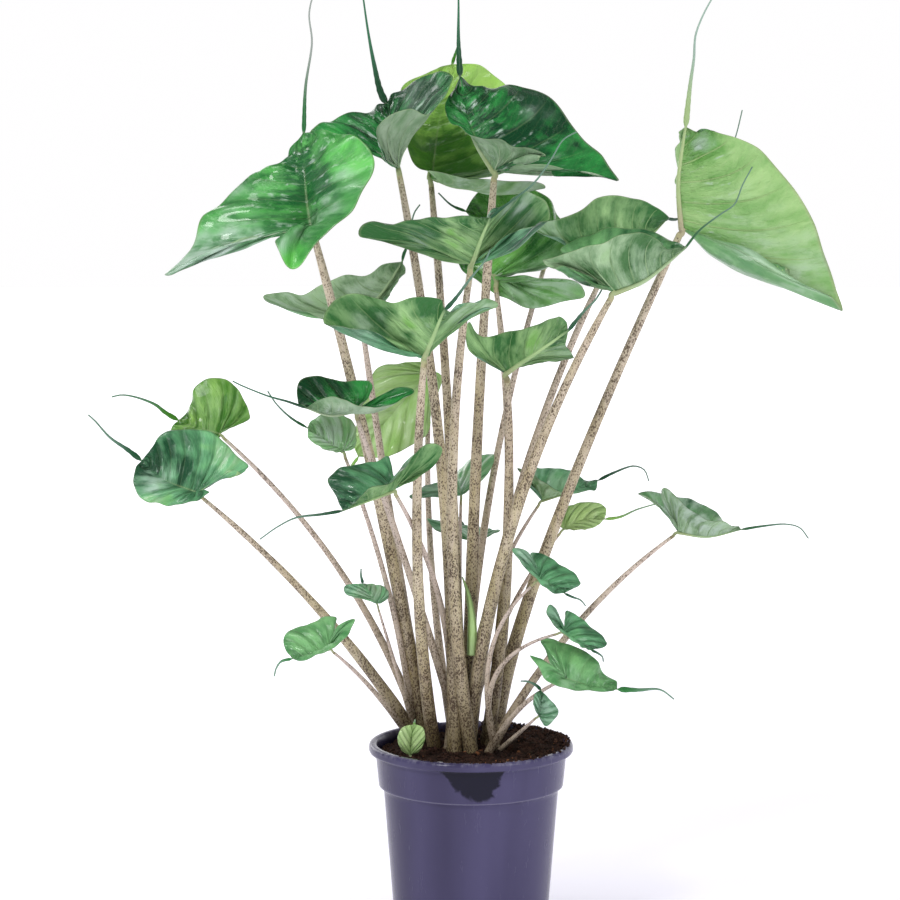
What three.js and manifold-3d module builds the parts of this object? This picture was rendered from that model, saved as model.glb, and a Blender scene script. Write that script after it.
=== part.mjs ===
// A potted stingray alocasia: a tapered nursery pot filled with soil, in which several plants stand close
// together. Each leaf is a speckled stalk that carries a blade shaped like a ray, with two wings and a long
// tail. Sizes are in millimetres. X runs to the right, Y to the back and Z up, from the middle of the
// pot's foot.

import * as THREE from "three";
import { ConvexGeometry } from "three/addons/geometries/ConvexGeometry.js";
import { mergeVertices } from "three/addons/utils/BufferGeometryUtils.js";
import Module from "manifold-3d";

const wasm = await Module();
wasm.setup();

// Pot and soil
const POT_HEIGHT = 200;
const POT_SEGMENTS = 40;
const LIP_RADIUS = 105;
const LIP_HEIGHT = 9;
const LIP_WIDTH = 8;
const COLLAR_TOP_RADIUS = 98;
const COLLAR_FOOT_RADIUS = 95;
const COLLAR_FOOT = 156;
const BODY_TOP_RADIUS = 90;
const FOOT_RADIUS = 78;
const POT_WALL = 2.5;
const POT_FLOOR = 4;
const DRAIN_HOLES = 6;
const DRAIN_RADIUS = 7;
const DRAIN_CIRCLE = 52;
const DRAIN_SEGMENTS = 8;
const SOIL_LEVEL = 190;
const SOIL_RINGS = 4;
const SOIL_RELIEF = 2.2;

// Clearance between pieces that touch, and around a stalk in its hole in the soil
const CLEARANCE = 0.3;
const HOLE_CLEARANCE = 0.45;
// Edges shorter than this are dropped where pieces are joined or cut
const SHORT_EDGE = 0.03;

// Stalks and blades
const STALK_DEPTH = 24;
const HOLE_TOP = 10;
const STALK_STATIONS = 6;
const NECK = 10;
const BLADE_THICKNESS = 1;
const FAN_START = 0.5;
const RIB_THINNING = 0.5;
const RIDGE = 0.6;
const NECK_TURN = 0.7;
const NECK_TURN_SHARE = 0.3;
const TAIL_RADIUS = 0.5;
const TAIL_STATION = 42;
const EDGE_STEP = 56;
// Steps along the midrib and from it to the edge, in a blade with a midrib longer than this and in a
// smaller one
const LARGE_BLADE = 64;
const LARGE_STEPS = { rib: 4, across: 3 };
const SMALL_STEPS = { rib: 3, across: 2 };

// Colour, roughness and metalness of each kind of surface
const FINISHES = {
  pot: [0x3a3547, 0.3],
  soil: [0x2e1c17, 0.95],
  stalk: [0x8d8062, 0.7],
  deep: [0x1f6b33, 0.35],
  bright: [0x3fa535, 0.35],
  cool: [0x3f8f5c, 0.4],
  grey: [0x6f9a6c, 0.5],
  young: [0x86bd3f, 0.45],
};

// The leaves, from the top of the plant down. joint is where the stalk meets the blade, and foot is where
// the stalk leaves the soil. rib, tail, left and right run from the joint: the midrib to the root of the
// tail, the tail on to its end, and the edge of each half from the root of the tail round its wing and back
// to the joint, left and right as they are seen on the upper face with the tail ahead. bow is how far the
// middle of the stalk stands off a straight line, girth is the stalk's radius at the soil and at the joint,
// and arch is how much a blade swells upward between its rib and its edge.
const LEAVES = [
  {
    name: "blade_great_left",
    plant: "stalks_left",
    finish: "bright",
    joint: [-159, -40, 727],
    foot: [-47, 52],
    bow: [8, -16, 0],
    girth: [8.5, 3.6],
    arch: 0.1,
    rib: [[-5, 4, 33], [-9, 20, 94]],
    tail: [[-7, 30, 140], [-1, 40, 185], [-4, 48, 215], [4, 55, 247]],
    left: [
      [-30, 28, 65], [-61, 25, 52], [-103, 2, 14], [-121, -18, -22], [-142, -30, -47],
      [-104, -26, -33], [-49, -15, -17],
    ],
    right: [
      [18, 10, 94], [46, -10, 87], [64, -38, 63], [46, -72, 22], [15, -95, -14], [-14, -105, -39],
      [-31, -88, -20], [-13, -45, 0],
    ],
  },
  {
    name: "blade_top_left",
    plant: "stalks_main",
    finish: "deep",
    joint: [-74, 10, 786],
    foot: [-17, 2],
    bow: [15, -6, 0],
    girth: [8.5, 3.2],
    arch: 0.08,
    rib: [[-8, 28, 30], [-13, 45, 68]],
    tail: [[-19, 48, 80], [-26, 50, 110], [-32, 52, 143], [-38, 50, 186]],
    left: [[-35, 52, 63], [-67, 35, 52], [-89, 0, 36], [-58, -15, 28], [-28, -10, 17]],
    right: [
      [1, 52, 80], [30, 45, 98], [55, 15, 94], [45, -20, 66], [29, -38, 52], [11, -55, 56],
      [-21, -62, 40], [-17, -45, 22],
    ],
  },
  {
    name: "blade_top_back",
    plant: "stalks_main",
    finish: "young",
    joint: [-42, 95, 779],
    foot: [-12, 22],
    bow: [6, 0, 0],
    girth: [7.5, 3],
    arch: -0.08,
    rib: [[9, 30, 62], [23, 55, 122]],
    tail: [[26, 70, 133], [29, 95, 145], [30, 120, 155]],
    left: [
      [-6, 30, 112], [-30, 5, 92], [-27, -20, 39], [-9, -45, 9], [30, -70, 0], [76, -75, -2],
      [118, -60, -10], [72, -20, -7],
    ],
    right: [[52, 65, 121], [84, 63, 95], [105, 45, 52], [115, 25, 20], [72, 10, 12], [30, 3, 5]],
  },
  {
    name: "blade_top_middle",
    plant: "stalks_main",
    finish: "deep",
    joint: [23, -20, 783],
    foot: [-3, 18],
    bow: [-5, 8, 0],
    girth: [7.5, 3.2],
    arch: 0.06,
    rib: [[-21, 25, 37], [-34, 50, 97]],
    tail: [[-36, 52, 134], [-36, 50, 173], [-37, 48, 195]],
    left: [
      [-44, 42, 81], [-50, 28, 62], [-37, 5, 44], [-1, -28, 30], [27, -42, 22], [49, -50, 14],
      [24, -25, 11],
    ],
    right: [
      [-11, 70, 86], [17, 85, 91], [49, 92, 83], [86, 82, 45], [113, 65, 10], [128, 55, -8],
      [98, 50, 6], [51, 32, 8],
    ],
  },
  {
    name: "blade_great_right",
    plant: "stalks_right",
    finish: "grey",
    joint: [216, 30, 726],
    foot: [25, 44],
    bow: [-43, 0, -65],
    girth: [9, 3.6],
    arch: 0.06,
    rib: [[-4, -2, 45], [2, -5, 103]],
    tail: [[6, -6, 146], [9, -10, 171], [10, -15, 194], [17, -20, 214], [27, -25, 233]],
    left: [
      [23, 5, 94], [39, 12, 97], [80, 30, 83], [116, 40, 45], [139, 38, 7], [150, 30, -27],
      [160, 20, -58], [168, 15, -83], [156, 10, -71], [99, 8, -39], [37, 3, -13],
    ],
    right: [[-5, 10, 98], [-4, 40, 88], [-2, 66, 66], [2, 74, 48], [4, 50, 36], [2, 20, 14]],
  },
  {
    name: "blade_upper_front",
    plant: "stalks_main",
    finish: "cool",
    joint: [-1, -95, 691],
    foot: [0, 0],
    bow: [-19, 8, 0],
    girth: [7.5, 3],
    arch: 0.08,
    rib: [[9, -25, 26], [17, -45, 45]],
    tail: [[30, -55, 55], [58, -70, 77], [74, -77, 99], [85, -83, 117], [97, -87, 124]],
    left: [[27, -30, 57], [51, 0, 70], [73, 17, 61], [76, 10, 45], [57, -13, 38], [35, -15, 27]],
    right: [
      [0, -45, 43], [-25, -40, 45], [-70, -15, 41], [-106, 10, 38], [-109, 23, 28], [-64, 20, 15],
      [-25, 10, 3],
    ],
  },
  {
    name: "blade_upper_back",
    plant: "stalks_main",
    finish: "deep",
    joint: [80, 115, 691],
    foot: [-8, 32],
    bow: [-16, 10, 4],
    girth: [5.5, 2.4],
    arch: 0.08,
    rib: [[-40, 10, 35], [-85, 10, 54]],
    tail: [[-100, 10, 60], [-114, 12, 73]],
    left: [[-79, -2, 42], [-59, -18, 23], [-28, -25, 11], [8, -22, 0]],
    right: [
      [-78, 15, 66], [-58, 30, 82], [-24, 45, 82], [4, 50, 67], [19, 45, 42], [32, 30, 18],
      [21, 15, 4],
    ],
  },
  {
    name: "blade_upper_low",
    plant: "stalks_right",
    finish: "deep",
    joint: [24, 40, 677],
    foot: [20, 52],
    bow: [18, 4, 0],
    girth: [6.5, 2.6],
    arch: 0.06,
    rib: [[-23, 12, 11], [-43, 20, 25]],
    tail: [[-50, 26, 34], [-60, 36, 41]],
    left: [
      [-38, 10, 15], [-19, 10, -3], [9, 5, -21], [39, -2, -32], [67, -12, -27], [92, -20, -20],
      [82, -32, -6], [51, -32, 0], [21, -22, 0],
    ],
    right: [[-24, 20, 32], [13, 24, 44], [56, 24, 51], [72, 20, 46], [74, 10, 32], [70, 4, 16], [48, 4, 7]],
    neck: 16,
  },
  {
    name: "blade_right_front",
    plant: "stalks_main",
    finish: "grey",
    joint: [141, -60, 664],
    foot: [-3, 10],
    bow: [-25, 0, 10],
    girth: [8.5, 3.2],
    arch: 0.1,
    rib: [[30, 10, 12], [71, 20, 44]],
    tail: [[85, 22, 60], [106, 24, 76], [120, 24, 86], [128, 26, 105], [138, 30, 123]],
    left: [
      [55, 38, 53], [34, 55, 62], [-1, 68, 62], [-31, 75, 54], [-51, 68, 41], [-32, 40, 29],
      [-14, 18, 11],
    ],
    right: [
      [52, -2, 44], [39, -15, 51], [20, -28, 58], [-18, -40, 48], [-51, -40, 37], [-72, -32, 31],
      [-54, -25, 25], [-26, -15, 15],
    ],
  },
  {
    name: "blade_right_back",
    plant: "stalks_main",
    finish: "cool",
    joint: [137, 20, 684],
    foot: [-2, 24],
    bow: [-20, 2, 12],
    girth: [6, 2.6],
    arch: 0.08,
    rib: [[36, 20, 25], [65, 36, 53]],
    tail: [[78, 50, 52], [104, 68, 68], [125, 78, 98], [141, 84, 138], [148, 86, 166]],
    left: [[60, 60, 57], [40, 75, 62], [-1, 80, 59], [-33, 70, 45], [-27, 40, 24]],
    right: [
      [65, 20, 57], [50, 12, 63], [22, 2, 74], [-7, -4, 73], [-39, -6, 54], [-74, -4, 43],
      [-47, -2, 30], [-21, 0, 10],
    ],
  },
  {
    name: "blade_middle_right",
    plant: "stalks_right",
    finish: "cool",
    joint: [35, -40, 583],
    foot: [17, 37],
    bow: [10, 2, 0],
    girth: [7.5, 3.2],
    arch: 0.1,
    rib: [[30, -18, 21], [60, -22, 42]],
    tail: [[75, -22, 61], [87, -20, 73], [98, -16, 91]],
    left: [[59, -20, 35], [58, -15, 27], [67, -2, 15], [43, 2, 11], [18, 2, 6]],
    right: [
      [56, -15, 55], [39, 5, 52], [18, 14, 43], [2, 22, 40], [-24, 16, 35], [-38, 8, 50],
      [-39, 2, 29], [-25, 0, 14],
    ],
  },
  {
    name: "blade_middle_left_back",
    plant: "stalks_left",
    finish: "grey",
    joint: [-114, 60, 634],
    foot: [-46, 64],
    bow: [-2, 6, 0],
    girth: [5.5, 2.6],
    arch: 0.06,
    rib: [[25, 8, 29], [43, 15, 58]],
    tail: [[44, 16, 65], [48, 18, 75], [55, 20, 108], [61, 22, 117]],
    left: [[46, 10, 50], [35, 2, 33], [24, -5, 19], [12, -5, 6]],
    right: [
      [24, 25, 55], [4, 35, 44], [-34, 40, 39], [-65, 30, 22], [-82, 20, 29], [-101, 5, 24],
      [-92, -10, 15], [-57, -15, 7], [-27, -10, 0],
    ],
  },
  {
    name: "blade_middle_front",
    plant: "stalk_middle_front",
    finish: "cool",
    joint: [-46, -120, 603],
    foot: [-38, 22],
    bow: [-12, -16, 0],
    girth: [7.5, 3.2],
    arch: 0.08,
    rib: [[11, -20, 27], [20, -32, 46]],
    tail: [[28, -40, 55], [43, -50, 75], [58, -58, 94], [62, -60, 103]],
    left: [
      [30, -28, 44], [45, -20, 52], [59, -10, 56], [71, -2, 49], [47, 2, 43], [31, 2, 33],
      [16, 2, 14],
    ],
    right: [
      [13, -15, 56], [-12, -5, 57], [-29, -2, 52], [-77, 15, 59], [-92, 20, 49], [-97, 8, 34],
      [-70, -10, 30], [-41, -8, 21], [-19, -4, 7],
    ],
  },
  {
    name: "blade_far_left_front",
    plant: "stalks_left",
    finish: "cool",
    joint: [-276, -40, 462],
    foot: [-54, 42],
    bow: [12, 0, 8],
    girth: [7, 1.9],
    arch: 0.08,
    rib: [[-31, -2, 13], [-54, -2, 33]],
    tail: [[-67, -2, 43], [-86, 0, 56], [-101, 4, 72], [-108, 6, 78]],
    left: [
      [-59, -12, 26], [-59, -24, 9], [-45, -34, -5], [-20, -36, -7], [4, -28, -4], [15, -18, 3],
      [8, -8, 4],
    ],
    right: [
      [-45, 12, 45], [-39, 28, 55], [-15, 45, 60], [7, 50, 58], [22, 45, 49], [37, 32, 35],
      [51, 18, 24], [28, 10, 16], [11, 4, 8],
    ],
  },
  {
    name: "blade_far_left_back",
    plant: "stalks_left",
    finish: "young",
    joint: [-260, 35, 515],
    foot: [-50, 54],
    bow: [22, 0, 14],
    girth: [5, 1.8],
    arch: 0.06,
    rib: [[-20, 3, 6], [-42, 5, 14]],
    tail: [[-56, 5, 22], [-66, 5, 30], [-87, 5, 38], [-101, 5, 40], [-111, 5, 38]],
    left: [[-49, -5, 5], [-47, -11, -10], [-29, -13, -22], [-10, -11, -18], [-3, -5, -9]],
    right: [
      [-34, 17, 21], [-31, 27, 36], [-26, 35, 48], [-11, 41, 55], [9, 43, 50], [22, 35, 35],
      [30, 23, 15], [21, 13, 9], [9, 5, 6],
    ],
  },
  {
    name: "blade_left_cupped",
    plant: "stalks_main",
    finish: "deep",
    joint: [-116, -70, 547],
    foot: [-8, 28],
    bow: [2, 0, 0],
    girth: [5, 2.2],
    arch: -0.1,
    rib: [[-24, 0, -4], [-47, 0, 3]],
    tail: [[-66, 0, 9], [-84, 0, 14], [-112, 2, 25], [-120, 2, 29]],
    left: [
      [-35, -12, 11], [-22, -22, 15], [-8, -25, 12], [9, -22, 6], [31, -18, 6], [51, -10, 14],
      [58, -2, 21], [45, 2, 23], [24, 2, 14],
    ],
    right: [
      [-56, 10, 8], [-56, 22, 27], [-43, 32, 32], [-9, 38, 26], [13, 34, 28], [17, 22, 17],
      [10, 10, 7],
    ],
  },
  {
    name: "blade_left_curled",
    plant: "stalks_left",
    finish: "grey",
    joint: [-129, -40, 504],
    foot: [-58, 48],
    bow: [11, 0, 0],
    girth: [4.5, 1.7],
    arch: 0.1,
    rib: [[-17, -2, 11], [-35, -2, 24]],
    tail: [[-51, 0, 33], [-66, 2, 47], [-75, 4, 60]],
    left: [[-33, -12, 14], [-20, -18, 5], [-2, -12, 0]],
    right: [[-31, 10, 30], [-14, 20, 36], [6, 22, 31], [13, 16, 18], [11, 8, 4]],
  },
  {
    name: "blade_young_hanging",
    plant: "stalks_back",
    finish: "young",
    joint: [-43, 140, 571],
    foot: [-18, 60],
    bow: [-12, 30, 0],
    girth: [5, 2.2],
    arch: 0.08,
    rib: [[-33, 2, -34], [-77, -16, -88]],
    tail: [[-86, -24, -102], [-91, -30, -123]],
    left: [[-45, -28, -87], [-24, -27, -77], [-2, -24, -62], [1, -18, -44], [9, -10, -20], [13, -3, -2]],
    right: [[-82, -12, -74], [-75, -2, -41], [-64, 6, -4], [-50, 8, 7], [-19, 5, 12], [-2, 2, 11]],
  },
  {
    name: "blade_low_front",
    plant: "stalks_main",
    finish: "cool",
    joint: [-77, -108, 472],
    foot: [-24, 14],
    bow: [22, 46, 0],
    girth: [4.5, 2],
    arch: 0.06,
    rib: [[-23, -2, -9], [-49, -5, -19]],
    tail: [[-71, -6, -23], [-94, -6, -26], [-112, -4, -35], [-130, 0, -48]],
    left: [
      [-40, -20, -12], [-34, -30, -6], [-18, -38, 7], [1, -35, 12], [12, -28, 26], [25, -22, 43],
      [41, -18, 48], [48, -12, 42], [42, -6, 27], [25, -2, 13], [11, 0, 6],
    ],
    right: [
      [-58, 5, -2], [-64, 12, 8], [-57, 20, 17], [-42, 26, 21], [-20, 28, 24], [-6, 26, 30],
      [-5, 15, 13],
    ],
  },
  {
    name: "blade_left_bud",
    plant: "stalks_left",
    finish: "cool",
    joint: [-96, -20, 347],
    foot: [-55, 46],
    bow: [0, 0, 0],
    girth: [3.2, 1.1],
    arch: 0.07,
    rib: [[-8, 0, 11], [-14, 2, 20]],
    tail: [[-16, 4, 28], [-16, 5, 35]],
    left: [[-23, 8, 19], [-33, 10, 16], [-32, 2, 10], [-17, -4, 6]],
    right: [[-5, 12, 18], [7, 18, 14], [12, 12, 6], [7, 4, 1]],
  },
  {
    name: "blade_low_left",
    plant: "stalks_left",
    finish: "bright",
    joint: [-142, -70, 309],
    foot: [-60, 40],
    bow: [0, 0, 8],
    girth: [3.5, 1.3],
    arch: 0.08,
    rib: [[-19, 0, -5], [-37, 2, -10]],
    tail: [[-48, 2, -13], [-53, 2, -20], [-55, 2, -28]],
    left: [
      [-28, -8, -11], [-10, -18, -2], [6, -22, 5], [17, -22, 16], [24, -20, 26], [26, -18, 33],
      [15, -12, 29], [5, -6, 18],
    ],
    right: [
      [-44, 8, 0], [-46, 16, 8], [-40, 24, 15], [-22, 30, 20], [-8, 32, 26], [6, 30, 27],
      [3, 18, 16],
    ],
  },
  {
    name: "blade_far_right",
    plant: "stalks_right_outer",
    finish: "grey",
    joint: [210, -20, 420],
    foot: [19, -2],
    bow: [-10, 0, 15],
    girth: [5.5, 1.8],
    arch: 0.06,
    rib: [[29, -2, -4], [63, 0, 3]],
    tail: [[85, 0, 6], [109, 0, 8], [123, 2, 4], [132, 4, -7]],
    left: [
      [53, 15, 6], [46, 28, 11], [31, 38, 23], [15, 42, 29], [-11, 42, 34], [-38, 35, 37],
      [-23, 22, 30], [-11, 10, 16],
    ],
    right: [
      [56, -12, 9], [34, -25, 14], [15, -32, 21], [0, -35, 34], [-20, -35, 47], [-18, -25, 33],
      [-9, -12, 16],
    ],
  },
  {
    name: "blade_right_slim",
    plant: "stalks_back",
    finish: "cool",
    joint: [76, 90, 440],
    foot: [-4, 56],
    bow: [-20, 0, 8],
    girth: [4, 1.6],
    arch: 0.05,
    rib: [[29, 2, 9], [59, 4, 21]],
    tail: [[76, 4, 29], [97, 4, 36], [108, 4, 32], [113, 4, 20]],
    left: [[46, 16, 21], [30, 26, 30], [7, 28, 31], [-7, 22, 33], [-18, 14, 36], [-10, 8, 23], [-2, 2, 11]],
    right: [
      [55, -8, 13], [28, -18, 9], [7, -24, 16], [-8, -24, 27], [-27, -20, 36], [-16, -14, 21],
      [-5, -6, 10],
    ],
  },
  {
    name: "blade_right_young",
    plant: "stalks_back",
    finish: "young",
    joint: [98, 70, 412],
    foot: [-2, 50],
    bow: [-14, 0, 10],
    girth: [3.5, 1.4],
    arch: 0.08,
    rib: [[19, 2, 9], [43, 4, 10]],
    tail: [[59, 4, 12], [77, 4, 20], [97, 4, 26]],
    left: [[45, 12, 21], [33, 18, 26], [12, 20, 24], [-5, 16, 18], [-10, 8, 9], [-5, 2, 3]],
    right: [[35, -6, 4], [22, -12, 1], [8, -10, 0]],
  },
  {
    name: "blade_right_folded",
    plant: "stalks_right_outer",
    finish: "cool",
    joint: [67, -50, 375],
    foot: [28, -2],
    bow: [-28, 0, 14],
    girth: [3.5, 1.3],
    arch: 0.05,
    rib: [[12, -4, -4], [26, -6, -12]],
    tail: [[34, -6, -16], [42, -6, -19], [47, -5, -25]],
    left: [[36, 3, -8], [43, 8, -4], [37, 16, 5], [21, 22, 14], [6, 24, 24], [-7, 20, 25], [-4, 10, 11]],
    right: [
      [14, -14, -11], [4, -20, -3], [-9, -22, 10], [-22, -20, 25], [-26, -16, 34], [-14, -10, 32],
      [-3, -4, 16],
    ],
  },
  {
    name: "blade_right_small",
    plant: "stalks_right_outer",
    finish: "cool",
    joint: [92, -55, 323],
    foot: [26, 3],
    bow: [-33, 0, 20],
    girth: [3.5, 1.3],
    arch: 0.05,
    rib: [[13, -3, -8], [28, -4, -17]],
    tail: [[34, -4, -20], [39, -3, -24], [40, -2, -29]],
    left: [[42, 4, -15], [44, 10, -11], [30, 18, 2], [16, 22, 13], [4, 20, 19], [2, 10, 11]],
    right: [
      [17, -14, -12], [4, -20, -2], [-11, -22, 11], [-18, -20, 23], [-15, -16, 31], [-8, -12, 26],
      [-2, -6, 13],
    ],
  },
  {
    name: "blade_low_right",
    plant: "stalks_right_outer",
    finish: "bright",
    joint: [94, -70, 279],
    foot: [20, -6],
    bow: [-8, 0, 8],
    girth: [3.5, 1.5],
    arch: 0.08,
    rib: [[24, -2, -7], [51, -2, -10]],
    tail: [[72, -2, -11], [94, 0, -11], [108, 2, -21]],
    left: [
      [50, 8, -3], [39, 14, 2], [29, 24, 18], [8, 30, 28], [-9, 32, 33], [-24, 30, 34],
      [-18, 18, 21], [-14, 8, 10],
    ],
    right: [
      [43, -10, -11], [23, -20, -8], [-1, -24, -6], [-19, -22, 2], [-31, -18, 17], [-37, -14, 25],
      [-25, -10, 20], [-11, -4, 8],
    ],
  },
  {
    name: "blade_right_bud",
    plant: "stalks_right_outer",
    finish: "cool",
    joint: [67, -75, 243],
    foot: [27, -4],
    bow: [0, 0, 0],
    girth: [3, 1.2],
    arch: 0.05,
    rib: [[2, 0, 12], [2, 2, 25]],
    tail: [[-2, 4, 29], [-11, 6, 33], [-18, 8, 33]],
    left: [[-4, -6, 23], [-6, -10, 14], [-3, -8, 5]],
    right: [[10, -6, 18], [19, -10, 7], [17, -12, 1], [7, -10, -9]],
  },
  {
    name: "blade_back_small",
    plant: "stalks_back",
    finish: "cool",
    joint: [-10, 66, 448],
    foot: [-9, 58],
    bow: [-2, 0, 0],
    girth: [3.5, 1.5],
    arch: 0.06,
    rib: [[-3, 20, 9], [-6, 40, 13]],
    tail: [[-10, 55, 18], [-14, 75, 23]],
    left: [[-20, 35, 9], [-39, 15, 8], [-54, -5, -2], [-35, -12, 0], [-14, -8, 0]],
    right: [[-1, 40, 24], [15, 25, 38], [35, 8, 41], [30, -5, 25], [10, -6, 7]],
  },
  {
    name: "blade_back_low",
    plant: "stalks_back",
    finish: "cool",
    joint: [0, 100, 396],
    foot: [-5, 60],
    bow: [2, 0, 0],
    girth: [3.5, 1.5],
    arch: 0.06,
    rib: [[-3, 23, 7], [-7, 43, 11]],
    tail: [[-10, 60, 14], [-14, 75, 17]],
    left: [[-21, 35, 10], [-32, 20, 15], [-46, 5, 23], [-39, -7, 14], [-21, -7, 5]],
    right: [[9, 37, 9], [22, 20, 9], [32, 3, 9], [19, -7, 4]],
  },
];

// The short rolled sprout at the left front, and the slim rolled shoot in the fork of the middle stalks
const SPROUT = {
  name: "sprout_left",
  finish: "young",
  joint: [-62, -30, 193],
  rib: [[1, 2, 16], [4, 3, 31]],
  tail: [[5, 2, 36]],
  left: [[-8, -4, 29], [-13, -6, 18], [-9, -4, 6]],
  right: [[13, -4, 29], [15, -7, 17], [9, -4, 5]],
  arch: 0.12,
  girth: [1.8, 1.8],
};
const SHOOT = {
  name: "shoot_middle",
  finish: "young",
  path: [[0, -6, 292], [1, -9, 325], [-3, -8, 355], [-9, -6, 372]],
  radii: [5, 5.5, 3.2, 0.8],
  sides: 8,
};

// The plants in the pot, each with all its stalks in one body
const PLANTS = [...new Set(LEAVES.map((leaf) => leaf.plant))];

const vector = (xyz) => new THREE.Vector3(...xyz);
const lerp = (a, b, t) => a.clone().lerp(b, t);

// A closed solid from shared corners and triangles that face outward
function solid({ corners, triangles }) {
  return new wasm.Manifold(
    new wasm.Mesh({
      numProp: 3,
      vertProperties: new Float32Array(corners.flatMap((p) => p.toArray())),
      triVerts: new Uint32Array(triangles.flat()),
      tolerance: SHORT_EDGE,
    }),
  );
}

// A named mesh from a closed solid, in one of the finishes
function piece(name, body, finish) {
  const { vertProperties, triVerts } = body.getMesh();
  const geometry = new THREE.BufferGeometry()
    .setAttribute("position", new THREE.BufferAttribute(vertProperties, 3))
    .setIndex(new THREE.BufferAttribute(triVerts, 1));
  geometry.computeVertexNormals();
  const [color, roughness] = FINISHES[finish];
  const mesh = new THREE.Mesh(geometry, new THREE.MeshStandardMaterial({ color, roughness, metalness: 0 }));
  mesh.name = name;
  return mesh;
}

// A solid round the Z axis, from a profile of radii and heights that starts and ends on the axis
function turned(profile, reshape = () => {}) {
  const outline = profile.map(([radius, height]) => new THREE.Vector2(radius, height));
  const shape = shared(new THREE.LatheGeometry(outline, POT_SEGMENTS).rotateX(Math.PI / 2));
  shape.corners.forEach(reshape);
  return shape;
}

// The shared corners of a geometry, and its triangles that have three different ones
function shared(geometry) {
  geometry.deleteAttribute("normal");
  geometry.deleteAttribute("uv");
  const { index, attributes } = mergeVertices(geometry, 1e-3);
  const corners = [];
  const triangles = [];
  for (let i = 0; i < attributes.position.count; i++) {
    corners.push(new THREE.Vector3().fromBufferAttribute(attributes.position, i));
  }
  for (let i = 0; i < index.count; i += 3) {
    const triangle = [index.getX(i), index.getX(i + 1), index.getX(i + 2)];
    if (new Set(triangle).size === 3) triangles.push(triangle);
  }
  return { corners, triangles };
}

// A closed tube of changing radius through a row of points
function tube(points, radii, sides) {
  const corners = [];
  const triangles = [];
  let across = null;
  points.forEach((point, i) => {
    const ahead = points[Math.min(i + 1, points.length - 1)]
      .clone()
      .sub(points[Math.max(i - 1, 0)])
      .normalize();
    if (!across) across = Math.abs(ahead.x) < 0.8 ? new THREE.Vector3(1, 0, 0) : new THREE.Vector3(0, 1, 0);
    across.addScaledVector(ahead, -across.dot(ahead)).normalize();
    const up = ahead.clone().cross(across);
    for (let k = 0; k < sides; k++) {
      const angle = (2 * Math.PI * k) / sides;
      corners.push(
        point
          .clone()
          .addScaledVector(across, radii[i] * Math.cos(angle))
          .addScaledVector(up, radii[i] * Math.sin(angle)),
      );
    }
  });
  for (let i = 1; i < points.length; i++) {
    for (let k = 0; k < sides; k++) {
      const next = (k + 1) % sides;
      const [a, b] = [(i - 1) * sides + k, (i - 1) * sides + next];
      const [c, d] = [i * sides + k, i * sides + next];
      triangles.push([a, b, c], [b, d, c]);
    }
  }
  const last = (points.length - 1) * sides;
  for (let k = 1; k < sides - 1; k++) {
    triangles.push([0, k + 1, k], [last, last + k, last + k + 1]);
  }
  return { corners, triangles };
}

// The curve of a leaf's stalk from the soil to its joint
function stalkCurve(leaf) {
  const foot = new THREE.Vector3(...leaf.foot, SOIL_LEVEL);
  const joint = vector(leaf.joint);
  const middle = lerp(foot, joint, 0.5).addScaledVector(vector(leaf.bow), 2);
  return new THREE.QuadraticBezierCurve3(foot, middle, joint);
}

// The length of a leaf's neck, the end of its stalk that belongs to the blade
function neckLength(leaf) {
  return leaf.neck ?? NECK;
}

// The share of a stalk's curve that lies below a point at this distance from its joint
function shareBelow(curve, distance) {
  return 1 - distance / (2 * curve.v2.distanceTo(curve.v1));
}

// The stations of a stalk from inside the soil up to its neck: points and radii
function stalkStations(leaf) {
  const curve = stalkCurve(leaf);
  const [rFoot, rJoint] = leaf.girth;
  const down = curve.v0.clone().sub(curve.v1).normalize().add(new THREE.Vector3(0, 0, -1)).normalize();
  const top = shareBelow(curve, neckLength(leaf) + CLEARANCE);
  const points = [curve.v0.clone().addScaledVector(down, STALK_DEPTH)];
  const radii = [rFoot];
  for (let i = 0; i < STALK_STATIONS; i++) {
    const t = (top * i) / (STALK_STATIONS - 1);
    points.push(curve.getPoint(t));
    radii.push(rJoint + (rFoot - rJoint) * (1 - t) ** 1.5);
  }
  return { points, radii };
}

// The tube of a stalk, grown by a margin all round
function stalkTube(leaf, margin) {
  const { points, radii } = stalkStations(leaf);
  return solid(tube(points, radii.map((radius) => radius + margin), stalkSides(leaf)));
}

// The part of a stalk in the soil and just above it, grown by a clearance all round
function footTube(leaf) {
  const { points, radii } = stalkStations(leaf);
  const [deep, foot, next] = points;
  const low = deep.clone().add(deep.clone().sub(foot).setLength(HOLE_CLEARANCE));
  const share = HOLE_TOP / foot.distanceTo(next);
  const ends = [radii[0], radii[1], THREE.MathUtils.lerp(radii[1], radii[2], share)];
  const grown = ends.map((radius) => radius + HOLE_CLEARANCE);
  return tube([low, foot, lerp(foot, next, share)], grown, stalkSides(leaf));
}

function stalkSides(leaf) {
  return leaf.girth[0] > 4.2 ? 6 : 5;
}

// The distance of each of a row of points from its start, measured straight from point to point
function distances(points) {
  const sums = [0];
  for (let i = 1; i < points.length; i++) sums.push(sums[i - 1] + points[i].distanceTo(points[i - 1]));
  return sums;
}

// The point of a smooth curve through the given ones, at a share of their distance
function pointAlong(points, share) {
  const sums = distances(points);
  const goal = share * sums.at(-1);
  const k = Math.max(1, sums.findIndex((sum) => sum >= goal - 1e-9));
  const within = (goal - sums[k - 1]) / (sums[k] - sums[k - 1]);
  const curve = new THREE.CatmullRomCurve3(points, false, "centripetal");
  return curve.getPoint((k - 1 + Math.min(1, within)) / (points.length - 1));
}

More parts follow.
